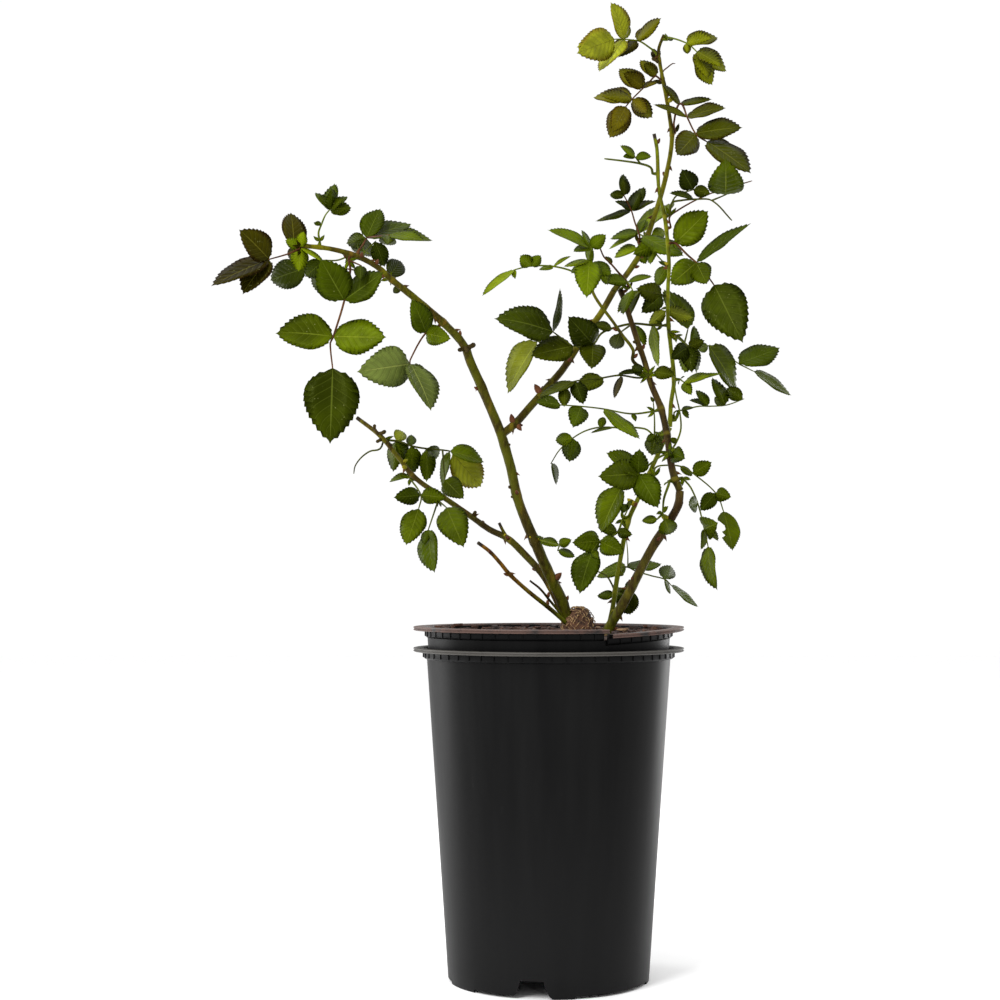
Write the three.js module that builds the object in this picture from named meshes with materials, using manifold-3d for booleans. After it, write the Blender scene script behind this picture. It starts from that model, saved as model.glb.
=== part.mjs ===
// A rose bush standing in two nested nursery pots, in millimetres, +Z up.
// The origin is the centre of the outer pot's underside, and the front of the plant faces -Y.
// Places on the plant are given as seen from the front: how far across from the pot's axis and how far up
// they look from VIEW_DISTANCE away, and how far back they lie. Sliding a twig along that line of sight
// leaves the front of the crown as it is.

import * as THREE from 'three';
import { mergeVertices } from 'three/addons/utils/BufferGeometryUtils.js';
import Module from 'manifold-3d';

// Driving sizes of the pots
const POT_RIM_WIDTH = 216;
const POT_SHOULDER_WIDTH = 194.4;
const POT_FOOT_WIDTH = 160.4;
const POT_HEIGHT = 264.5;
const POT_WALL = 1.2;
const POT_CLEARANCE = 0.35;
const LIP_HEIGHT = 3;
const BAND_HEIGHT = 6;
const BAND_DEPTH = 3.6;
const BASE_RAISE = 14;
const BASE_THICKNESS = 2.5;
const FOOT_RECESS = 2.2;
const CENTRE_PAD_WIDTH = 24;
const NESTING_RISE = 16.8;
const SOIL_TOP = 275;
const SOIL_EDGE_DROP = 1.5;
const SOIL_STRAIGHT_EDGE = 21;
const SOIL_FLAT_WIDTH = 120;
const POT_SIDES = 32;

// Directions round the pot are in degrees from the front, towards +X
const FOOT_PADS = [[-73, -47], [-6, 13], [72, 98], [137, 163], [199, 225]];
const DRAIN_NOTCHES = [-10.6, 109.4, 229.4];
const NOTCH_TOP_WIDTH = 18;
const NOTCH_FOOT_WIDTH = 33;
const SPLIT_DIRECTION = 24.5;
const SPLIT_WIDTH = 2.6;
const SPLIT_DEPTH = 5.5;

// Driving sizes of the plant
const VIEW_DISTANCE = 1520;
const EYE_ACROSS = -38.8;
const EYE_HEIGHT = 323;
const GAP = 0.3;
const KNOB_CENTRE = [24, 2, 280];
const KNOB_RADII = [13.5, 13, 17];
const KNOB_LUMPINESS = 0.1;
const CANE_SIDES = 6;
const TWIG_SIDES = 3;
const PRICKLE_LENGTH = 5;
const PRICKLE_WIDTH = 2.8;
const PRICKLE_BEND = 1.6;
const LEAFLET_THICKNESS = 0.9;
const LEAFLET_RATIO = 0.7;
const ROOT_SHIFT = 1.2;
const TWIN_SCALE = 0.78;
const NARROWEST_TWIN = 13;
const SHORTEST_LEAFLET = 9;
const OWN_LIMB_REACH = 14;
const NEIGHBOUR_REACH = 3;
const SWINGS = [0, -0.2, 0.2, -0.45, 0.45, -0.7, 0.7];
const SPUR_LENGTH = 3;
const SPUR_WIDTH = 3.4;

// Colours
const POT_BLACK = new THREE.MeshStandardMaterial({ color: 0x26262a, roughness: 0.5, metalness: 0 });
const SOIL_BROWN = new THREE.MeshStandardMaterial({ color: 0x4a2f22, roughness: 1, metalness: 0 });
const BARK_STRAW = new THREE.MeshStandardMaterial({ color: 0x8a6a42, roughness: 0.95, metalness: 0 });
const CANE_GREEN = new THREE.MeshStandardMaterial({ color: 0x5c6420, roughness: 0.55, metalness: 0 });
const CANE_BROWN = new THREE.MeshStandardMaterial({ color: 0x4b3a22, roughness: 0.6, metalness: 0 });
const LEAF_GREEN = new THREE.MeshStandardMaterial({ color: 0x4c6613, roughness: 0.45, metalness: 0 });
const LEAF_DARK = new THREE.MeshStandardMaterial({ color: 0x2c3d14, roughness: 0.5, metalness: 0 });
const LEAF_FRESH = new THREE.MeshStandardMaterial({ color: 0x84a12c, roughness: 0.5, metalness: 0 });
const LEAF_YOUNG = new THREE.MeshStandardMaterial({ color: 0x3a2a1a, roughness: 0.5, metalness: 0 });

const wasm = await Module();
wasm.setup();

const eye = new THREE.Vector3(EYE_ACROSS, -VIEW_DISTANCE, EYE_HEIGHT);

// Seeded random numbers between 0 and 1, the same on every run
function seededRandom(seed) {
  let state = seed;
  return () => {
    state = (state + 0x6d2b79f5) | 0;
    let mixed = Math.imul(state ^ (state >>> 15), 1 | state);
    mixed = (mixed + Math.imul(mixed ^ (mixed >>> 7), 61 | mixed)) ^ mixed;
    return ((mixed ^ (mixed >>> 14)) >>> 0) / 4294967296;
  };
}

// The point that looks to be at this place from the front and lies this far back
function seen([across, height, back]) {
  const place = new THREE.Vector3(across, 0, height);
  return place.sub(eye).multiplyScalar(1 + back / VIEW_DISTANCE).add(eye);
}

// Solids

function toSolid(geometry) {
  geometry.deleteAttribute('normal');
  geometry.deleteAttribute('uv');
  const merged = mergeVertices(geometry, 1e-4);
  const corners = merged.index.array;
  const kept = [];
  for (let i = 0; i < corners.length; i += 3) {
    const [a, b, c] = [corners[i], corners[i + 1], corners[i + 2]];
    if (a !== b && b !== c && c !== a) kept.push(a, b, c);
  }
  return new wasm.Manifold(new wasm.Mesh({
    numProp: 3,
    vertProperties: new Float32Array(merged.attributes.position.array),
    triVerts: new Uint32Array(kept),
  }));
}

function toMesh(solid, name, material) {
  const { vertProperties, triVerts } = solid.getMesh();
  const geometry = new THREE.BufferGeometry();
  geometry.setAttribute('position', new THREE.BufferAttribute(vertProperties, 3));
  geometry.setIndex(new THREE.BufferAttribute(triVerts, 1));
  const mesh = new THREE.Mesh(geometry, material);
  mesh.name = name;
  return mesh;
}

function geometryOf(points, triangles) {
  const geometry = new THREE.BufferGeometry();
  geometry.setAttribute('position', new THREE.Float32BufferAttribute(points.flatMap((p) => p.toArray()), 3));
  geometry.setIndex(triangles);
  return geometry;
}

function largestPiece(solid) {
  return solid.decompose().sort((a, b) => b.volume() - a.volume())[0];
}

function touches(a, b) {
  const boxA = a.boundingBox();
  const boxB = b.boundingBox();
  const apart = [0, 1, 2].some((i) => boxA.min[i] > boxB.max[i] || boxB.min[i] > boxA.max[i]);
  return !apart && a.intersect(b).volume() > 1e-4;
}

// A tapered limb through the given points, with one ring at each. A swollen one is longer at both ends too.
function limbGeometry(points, footWidth, tipWidth, sides, swell = 0) {
  const curve = new THREE.CatmullRomCurve3(points, false, 'centripetal');
  const rings = points.length - 1;
  const corners = [];
  const triangles = [];
  let normal = new THREE.Vector3(0.31, -0.9, 0.29);
  for (let ring = 0; ring <= rings; ring += 1) {
    const along = ring / rings;
    const centre = curve.getPoint(along);
    const tangent = curve.getTangent(along);
    normal = normal.clone().addScaledVector(tangent, -normal.dot(tangent)).normalize();
    const binormal = tangent.clone().cross(normal);
    const radius = THREE.MathUtils.lerp(footWidth, tipWidth, along) / 2 + swell;
    if (ring === 0) centre.addScaledVector(tangent, -swell);
    if (ring === rings) centre.addScaledVector(tangent, swell);
    for (let side = 0; side < sides; side += 1) {
      const turn = (side / sides) * 2 * Math.PI;
      corners.push(centre.clone()
        .addScaledVector(normal, radius * Math.cos(turn))
        .addScaledVector(binormal, radius * Math.sin(turn)));
    }
  }
  for (let ring = 0; ring < rings; ring += 1) {
    for (let side = 0; side < sides; side += 1) {
      const next = (side + 1) % sides;
      const [a, b] = [ring * sides + side, ring * sides + next];
      triangles.push(a, b, b + sides, a, b + sides, a + sides);
    }
  }
  const last = rings * sides;
  for (let side = 1; side < sides - 1; side += 1) {
    triangles.push(0, side + 1, side, last, last + side, last + side + 1);
  }
  return geometryOf(corners, triangles);
}

// Pots: one mould, used twice. The inner pot is let in by its clearance and stands on the outer pot's base,
// where its foot is out of sight and is a plain full ring.

const taper = (POT_SHOULDER_WIDTH - POT_FOOT_WIDTH) / 2 / (POT_HEIGHT - LIP_HEIGHT - BAND_HEIGHT);

function wallRadius(height) {
  return POT_FOOT_WIDTH / 2 + taper * height;
}

function potSolid(rise, letIn) {
  const bandFoot = POT_HEIGHT - LIP_HEIGHT - BAND_HEIGHT;
  const bandRadius = POT_SHOULDER_WIDTH / 2 + BAND_DEPTH;
  const lipFoot = POT_HEIGHT - LIP_HEIGHT;
  const outside = (height) => wallRadius(height + rise) - letIn;
  const inside = (height) => outside(height) - POT_WALL;
  const floor = BASE_RAISE + BASE_THICKNESS;
  const centrePad = [[0, 0], [CENTRE_PAD_WIDTH / 2, 0], [CENTRE_PAD_WIDTH / 2 + 1, BASE_RAISE]];
  const profile = [
    ...(rise ? [[0, BASE_RAISE]] : centrePad),
    [inside(BASE_RAISE), BASE_RAISE], [inside(0), 0], [outside(0), 0],
    [outside(bandFoot), bandFoot], [bandRadius - letIn, bandFoot + 2], [bandRadius - letIn, lipFoot],
    [POT_RIM_WIDTH / 2, lipFoot + 0.4], [POT_RIM_WIDTH / 2, POT_HEIGHT - 0.4],
    [bandRadius - letIn - POT_WALL, POT_HEIGHT], [bandRadius - letIn - POT_WALL, bandFoot + 3],
    [inside(bandFoot), bandFoot + 1], [inside(floor), floor], [0, floor],
  ].map(([radius, height]) => new THREE.Vector2(radius, height));
  return toSolid(new THREE.LatheGeometry(profile, POT_SIDES).rotateX(Math.PI / 2)).translate([0, 0, rise]);
}

// The foot ring touches the ground on its pads only, and has three drain notches
function cutFeet(pot) {
  const footRadius = wallRadius(0);
  const recesses = FOOT_PADS.map(([, from], i) => {
    const to = i + 1 < FOOT_PADS.length ? FOOT_PADS[i + 1][0] : FOOT_PADS[0][0] + 360;
    return ringSector(footRadius - 9, footRadius + 8, from, to, FOOT_RECESS);
  });
  const notches = DRAIN_NOTCHES.map((direction) => drainNotch(direction, footRadius));
  return [...recesses, ...notches].reduce((cut, tool) => cut.subtract(tool), pot);
}

// A stretch of a ring on the ground, with some of it below, to cut with
function ringSector(innerRadius, outerRadius, from, to, height) {
  const [start, end] = [from, to].map((angle) => THREE.MathUtils.degToRad(angle - 90));
  const below = 5;
  const shape = new THREE.Shape();
  shape.absarc(0, 0, outerRadius, start, end, false);
  shape.absarc(0, 0, innerRadius, end, start, true);
  const sector = new THREE.ExtrudeGeometry(shape, {
    depth: height + below, bevelEnabled: false, curveSegments: 6,
  });
  return toSolid(sector.translate(0, 0, -below));
}

// A notch is wide at the ground and narrows in a curve to its flat top at the base
function drainNotch(direction, radius) {
  const top = NOTCH_TOP_WIDTH / 2;
  const foot = NOTCH_FOOT_WIDTH / 2;
  const below = 5;
  const depth = 24;
  const shape = new THREE.Shape();
  shape.moveTo(-foot - 3, -below);
  shape.lineTo(foot + 3, -below);
  shape.lineTo(foot, 0);
  shape.quadraticCurveTo(top + 2, 3, top, BASE_RAISE);
  shape.lineTo(-top, BASE_RAISE);
  shape.quadraticCurveTo(-top - 2, 3, -foot, 0);
  const notch = new THREE.ExtrudeGeometry(shape, { depth, bevelEnabled: false, curveSegments: 5 });
  notch.rotateX(Math.PI / 2);
  notch.translate(0, depth - 10 - radius, 0);
  notch.rotateZ(THREE.MathUtils.degToRad(direction));
  return toSolid(notch);
}

// The lip of the inner pot has split at the front right
function splitLip(pot) {
  const slot = new THREE.BoxGeometry(SPLIT_WIDTH, 14, SPLIT_DEPTH * 2);
  slot.translate(0, 3 - POT_RIM_WIDTH / 2, NESTING_RISE + POT_HEIGHT);
  slot.rotateZ(THREE.MathUtils.degToRad(SPLIT_DIRECTION));
  return pot.subtract(toSolid(slot));
}

function pottingMixSolid() {
  const foot = NESTING_RISE + BASE_RAISE + BASE_THICKNESS + GAP;
  const letIn = POT_WALL * 2 + POT_CLEARANCE + GAP;
  const shoulder = SOIL_TOP - SOIL_EDGE_DROP;
  const edge = wallRadius(shoulder - SOIL_STRAIGHT_EDGE) - letIn;
  const profile = [
    [0, foot], [wallRadius(foot) - letIn, foot], [edge, shoulder - SOIL_STRAIGHT_EDGE],
    [edge, shoulder], [SOIL_FLAT_WIDTH / 2, SOIL_TOP], [0, SOIL_TOP],
  ].map(([radius, height]) => new THREE.Vector2(radius, height));
  return toSolid(new THREE.LatheGeometry(profile, POT_SIDES).rotateX(Math.PI / 2));
}

// The knob of straw-coloured bark at the graft, lumpy, cut flat where it stands on the potting mix
function graftKnobSolid(swell = 0) {
  const lump = seededRandom(11);
  const ball = new THREE.IcosahedronGeometry(1, 2);
  const knob = mergeVertices(ball.deleteAttribute('normal').deleteAttribute('uv'), 1e-3);
  const position = knob.attributes.position;
  for (let i = 0; i < position.count; i += 1) {
    const point = new THREE.Vector3().fromBufferAttribute(position, i);
    const size = 1 + KNOB_LUMPINESS * (lump() - 0.5);
    point.multiply(new THREE.Vector3(...KNOB_RADII)).multiplyScalar(size);
    point.setLength(point.length() + swell);
    position.setXYZ(i, point.x, point.y, point.z);
  }
  knob.translate(...KNOB_CENTRE);
  return toSolid(knob);
}

// Canes: each is a route of places seen from the front, its width at foot and tip, and its prickles

const canes = {
  left_cane: {
    route: [[16, 285, 0], [10.6, 302, -3], [1, 322, -8], [-7.8, 342, -13], [-15, 358, -16], [-24.2, 382, -20],
      [-30.2, 408, -23], [-38.2, 435, -26], [-52.4, 470, -31], [-62.6, 493, -34], [-65.6, 502, -35]],
    widths: [9, 6.8], prickles: 4, material: CANE_GREEN,
  },
  left_cane_upper: {
    route: [[-65.4, 502.6, -35], [-72.4, 512, -40], [-86.8, 526.4, -50], [-109.2, 545.6, -62],
      [-124.4, 557.6, -68], [-137.2, 568.8, -73], [-153.2, 577.2, -78], [-174.8, 583.2, -85], [-196.4, 585.6, -90]],
    widths: [6.4, 3.2], prickles: 6, material: CANE_GREEN, after: 'left_cane',
  },
  low_left_cane: {
    route: [[16, 286, 4], [10.8, 294.4, 6], [-2.8, 320, 10], [-18.8, 338.4, 16], [-32.4, 351.2, 21],
      [-46.8, 358.4, 28], [-62.8, 369.6, 36], [-81.2, 382.4, 45], [-106.8, 400, 55], [-121.2, 417.6, 63],
      [-134.8, 433.6, 69], [-153.2, 448, 76]],
    widths: [6.4, 3.4], prickles: 4, material: CANE_BROWN,
  },
  low_left_stub: {
    route: [[-32.4, 351.2, 21], [-36.4, 357.6, 22], [-39.6, 364, 22]],
    widths: [2.8, 2.4], prickles: 0, material: CANE_BROWN, after: 'low_left_cane',
  },
  cut_thin_cane: {
    route: [[14, 284, -6], [1.2, 295.2, -14], [-14.8, 308, -25], [-30.8, 322.4, -37], [-38.8, 332, -44],
      [-46.8, 340.8, -49], [-56.4, 348, -55]],
    widths: [3.6, 2.8], prickles: 1, material: CANE_GREEN,
  },
  dead_twig: {
    route: [[14, 286, -2], [1.2, 301.6, -12], [-6.8, 311.2, -19], [-14.8, 317.6, -24]],
    widths: [2.2, 1.6], prickles: 0, material: CANE_BROWN,
  },
  middle_cane_lower: {
    route: [[-37.2, 434.6, -26], [-25.2, 444.8, -20], [-12.4, 459.2, -11], [9.2, 484, 3], [15.6, 492.8, 10],
      [29.2, 514.4, 21], [41.2, 530.4, 30], [51.6, 548.4, 36]],
    widths: [6.4, 5.2], prickles: 4, material: CANE_BROWN, after: 'left_cane',
  },
  middle_cane_upper: {
    route: [[51.8, 549, 36], [69.2, 572, 42], [77.2, 588, 46], [87.6, 618.4, 52], [94.8, 644.8, 54],
      [98.8, 670.4, 50], [97.2, 686.4, 44], [92.4, 714.4, 32], [88.4, 736, 22], [88.4, 744, 19], [92.4, 754.4, 14]],
    widths: [5, 2.4], prickles: 6, material: CANE_GREEN, after: 'middle_cane_lower',
  },
  right_cane_lower: {
    route: [[41, 267, -40], [48.4, 280, -42], [58.8, 297.6, -45], [70, 319.2, -49], [82, 342.4, -53],
      [94.8, 362.4, -54], [103.6, 377.6, -52], [105.2, 389.2, -50]],
    widths: [8.2, 6.2], prickles: 3, material: CANE_BROWN,
  },
  right_cane_upper: {
    route: [[105.2, 389.9, -50], [100.4, 401.6, -48], [97.2, 416.8, -45], [94.8, 435.2, -41], [90, 455.2, -39],
      [82, 475.2, -37], [76.4, 494.4, -35], [70.8, 510.4, -34], [60.4, 542.4, -31], [57.2, 550.4, -30]],
    widths: [5.8, 4], prickles: 4, material: CANE_BROWN, after: 'right_cane_lower',
  },
  straight_cane_lower: {
    route: [[45, 267, 11], [48.4, 282.4, 12], [51.6, 297.6, 14], [56.4, 328.8, 19], [63.6, 364.8, 25],
      [71.6, 383.2, 27], [82, 406.4, 29], [97.2, 440, 31]],
    widths: [4, 3.6], prickles: 4, material: CANE_GREEN,
  },
  straight_cane_upper: {
    route: [[97.3, 440.6, 31], [98, 459.2, 30], [100.4, 478.4, 28], [97.2, 509.6, 22], [95.6, 526.4, 18],
      [95.6, 550.4, 12], [96.4, 572, 7], [93.2, 606.4, 0], [88.4, 630.4, -6], [86.8, 662.4, -13], [84.4, 675.2, -16]],
    widths: [3.6, 2.8], prickles: 6, material: CANE_GREEN, after: 'straight_cane_lower',
  },
  forward_twig: {
    route: [[74.5, 488, -35], [67.6, 493.6, -42], [67.6, 502.4, -47], [58.8, 514.4, -54], [51.6, 524.8, -60],
      [37.2, 544.8, -68], [31.6, 560, -74]],
    widths: [2.8, 2.2], prickles: 0, material: CANE_GREEN, after: 'right_cane_upper',
  },
};

function caneSolid({ route, widths }, swell = 0) {
  return toSolid(limbGeometry(route.map(seen), widths[0], widths[1], CANE_SIDES, swell));
}

// Prickles stand out of a cane on alternate sides, a little unevenly, and bend down
function prickleRoutes({ route, widths, prickles }, seed) {
  const random = seededRandom(seed);
  const curve = new THREE.CatmullRomCurve3(route.map(seen), false, 'centripetal');
  const routes = [];
  for (let i = 0; i < prickles; i += 1) {
    const along = 0.08 + 0.84 * (i + 0.6 * random()) / prickles;
    const tangent = curve.getTangent(along);
    const turn = Math.PI * (i % 2) + 1.2 * (random() - 0.5);
    const sideways = tangent.clone().cross(new THREE.Vector3(0, -1, 0)).normalize();
    sideways.applyAxisAngle(tangent, turn);
    const foot = curve.getPoint(along);
    const radius = THREE.MathUtils.lerp(widths[0], widths[1], along) / 2;
    const reach = radius + PRICKLE_LENGTH * (0.6 + 0.4 * random());
    const tip = foot.clone().addScaledVector(sideways, reach).addScaledVector(tangent, -PRICKLE_BEND);
    routes.push([foot, tip]);
  }
  return routes;
}

function prickleSolid(route, swell = 0) {
  return toSolid(limbGeometry(route, PRICKLE_WIDTH, 0, TWIG_SIDES, swell));
}

// Leaflets and stalks

// Where each rim point of a leaflet stands along its length, and how much of its half width it reaches
const LARGE_LEAFLET_RIM = [[0.13, 0.7], [0.4, 1.05], [0.76, 0.68]];
const LEAFLET_RIM = [[0.28, 0.95], [0.68, 0.88]];
const SMALL_LEAFLET_RIM = [[0.48, 1.1]];
const LARGE_LEAFLET = 38;
const SMALL_LEAFLET = 20;

function rimOfLeaflet(length) {
  if (length > LARGE_LEAFLET) return LARGE_LEAFLET_RIM;
  return length < SMALL_LEAFLET ? SMALL_LEAFLET_RIM : LEAFLET_RIM;
}

// A leaflet grows from its base to a tip that looks this far across and up from there. One that looks
// broad for its length points towards or away from the front, and one that looks narrow is turned on edge.
function leafletSolid(base, [across, height, width], slope, random, swing) {
  const looksLong = Math.hypot(across, height);
  const wholeLength = Math.max(looksLong, width / LEAFLET_RATIO);
  const towards = slope < 0 ? -1 : 1;
  const back = towards * Math.sqrt(wholeLength ** 2 - looksLong ** 2) + slope * looksLong * 0.6;
  const root = seen(base);
  const along = seen([base[0] + across, base[1] + height, base[2] + back]).sub(root);
  const length = along.length();
  along.normalize();
  if (swing) along.addScaledVector(new THREE.Vector3(0, Math.sin(swing), 0), 1).normalize();
  const toEye = eye.clone().sub(root).normalize();
  const facing = toEye.addScaledVector(along, -toEye.dot(along)).normalize();
  const sideways = along.clone().cross(facing);
  const roll = Math.acos(Math.min(1, width / (LEAFLET_RATIO * wholeLength)));
  const upperSide = Math.abs(sideways.z) > 0.25 ? Math.sign(sideways.z) : Math.sign(random() - 0.5);
  const normal = facing.multiplyScalar(Math.cos(roll)).addScaledVector(sideways, upperSide * Math.sin(roll));
  const outwards = normal.clone().cross(along).normalize();
  const halfWidth = (LEAFLET_RATIO * wholeLength) / 2;
  const cup = 0.14 + 0.14 * random();
  const at = (share, side, lift) => root.clone().addScaledVector(along, share * length)
    .addScaledVector(outwards, side * halfWidth).addScaledVector(normal, lift);
  const outline = rimOfLeaflet(length);
  const points = [
    at(0, 0, 0),
    ...outline.map(([share, side]) => at(share, side, 0)),
    at(1, 0, 0),
    ...outline.map(([share, side]) => at(share, -side, 0)).reverse(),
    at(0.42, 0, LEAFLET_THICKNESS / 2 - cup * halfWidth),
    at(0.42, 0, -LEAFLET_THICKNESS / 2 - cup * halfWidth),
  ];
  const rim = points.length - 2;
  const triangles = [];
  for (let i = 0; i < rim; i += 1) {
    const next = (i + 1) % rim;
    triangles.push(next, i, rim, i, next, rim + 1);
  }
  return toSolid(geometryOf(points, triangles));
}

// The place on a limb's route that looks nearest to a place given as across and up, and the way it runs there
function placeOn(limb, [across, height]) {
  const { route, widths } = canes[limb];
  let nearest = null;
  for (let i = 0; i + 1 < route.length; i += 1) {
    for (let share = 0; share <= 1; share += 0.05) {
      const place = route[i].map((value, axis) => THREE.MathUtils.lerp(value, route[i + 1][axis], share));
      const distance = Math.hypot(place[0] - across, place[1] - height);
      if (!nearest || distance < nearest.distance) nearest = { place, distance, i, along: i + share };
    }
  }
  const along = nearest.along / (route.length - 1);
  const [before, after] = [route[nearest.i], route[nearest.i + 1]].map((at) => new THREE.Vector3(...at));
  const radius = THREE.MathUtils.lerp(widths[0], widths[1], along) / 2;
  return { place: nearest.place, run: after.sub(before).normalize(), radius, atTip: along > 0.99 };
}

// The spur that a spray's stalks share stands out of its limb towards the first of them, or straight on from
// the limb's tip
function spurEnd({ place, run, radius, atTip }, spray) {
  const [step] = spray.stalks[0].steps;
  const way = new THREE.Vector3(...(spray.spur ?? [step[0], step[1], 0]));
  if (!atTip) way.addScaledVector(run, -way.dot(run));
  way.setLength(atTip ? SPUR_LENGTH : radius + SPUR_LENGTH);
  return [place[0] + way.x, place[1] + way.y, place[2] + way.z];
}

// The joints of a stalk: its steps add up, and its depth grows evenly along them
function jointsOf(start, steps, back) {
  const lengths = steps.map(([across, height]) => Math.hypot(across, height));
  const total = lengths.reduce((sum, length) => sum + length, 0);
  const joints = [start];
  for (let i = 0; i < steps.length; i += 1) {
    const [across, height, depth] = joints[i];
    joints.push([across + steps[i][0], height + steps[i][1], depth + (back * lengths[i]) / total]);
  }
  return { joints, slope: back / total };
}

// A leaflet is rooted inside its stalk, just before the joint that it belongs to
function rootOf(joints, joint) {
  if (joint === 0) return joints[0];
  const [from, to] = [joints[joint - 1], joints[joint]].map((place) => new THREE.Vector3(...place));
  return to.lerp(from, Math.min(0.5, ROOT_SHIFT / from.distanceTo(to))).toArray();
}

// A stalk with its leaflets and side stalks. A leaflet that would touch something is turned on its root,
// and left out if it still would. A twin is the same stalk again at another depth, with smaller leaflets.
function growStalk(stalk, start, spray, random, scale = 1) {
  const { steps, back = 0, thick = 1.7, leaflets = [], stalks = [], twin } = stalk;
  const { joints, slope } = jointsOf(start, steps, back);
  if (start === spray.start) joints[0] = spray.spur;
  const lean = THREE.MathUtils.clamp(slope, -0.8, 0.8);
  const solids = [toSolid(limbGeometry(joints.map(seen), thick, thick * 0.6, TWIG_SIDES))];
  for (const [joint, across, height, width] of leaflets) {
    if (Math.max(Math.hypot(across, height), width) < SHORTEST_LEAFLET) continue;
    if (scale < 1 && width < NARROWEST_TWIN) continue;
    const size = [across, height, width].map((value) => value * scale);
    const tilt = lean + 0.3 * (random() - 0.5);
    const root = seen(joints[joint]);
    const nearLimb = root.distanceTo(seen(spray.start)) < OWN_LIMB_REACH;
    const blockers = nearLimb ? spray.others : [...spray.others, spray.ownLimb];
    const apart = spray.leaflets.filter((other) => other.root.distanceTo(root) > NEIGHBOUR_REACH);
    const turned = SWINGS.map((swing) => leafletSolid(rootOf(joints, joint), size, tilt, random, swing))
      .filter((leaflet) => !blockers.some((blocker) => touches(leaflet, blocker)));
    const clear = turned.find((leaflet) => !apart.some((other) => touches(leaflet, other.solid)));
    const solid = clear ?? (scale < 1 ? undefined : turned[0]);
    if (!solid) continue;
    solids.push(solid);
    spray.leaflets.push({ solid, root });
  }
  for (const side of stalks) {
    solids.push(...growStalk({ thick: thick * 0.8, ...side }, joints[side.joint], spray, random, scale));
  }
  if (twin !== undefined) {
    solids.push(...growStalk({ ...stalk, back: twin, twin: undefined }, start, spray, random, TWIN_SCALE));
  }
  return solids;
}

// Leaf sprays. Each grows from the place on its limb that looks nearest to at. A stalk lists its steps as
// [across, up], how far back its end lies from its start, and its leaflets as
// [joint of the stalk, across, up, width], all as they look from the front.

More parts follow.
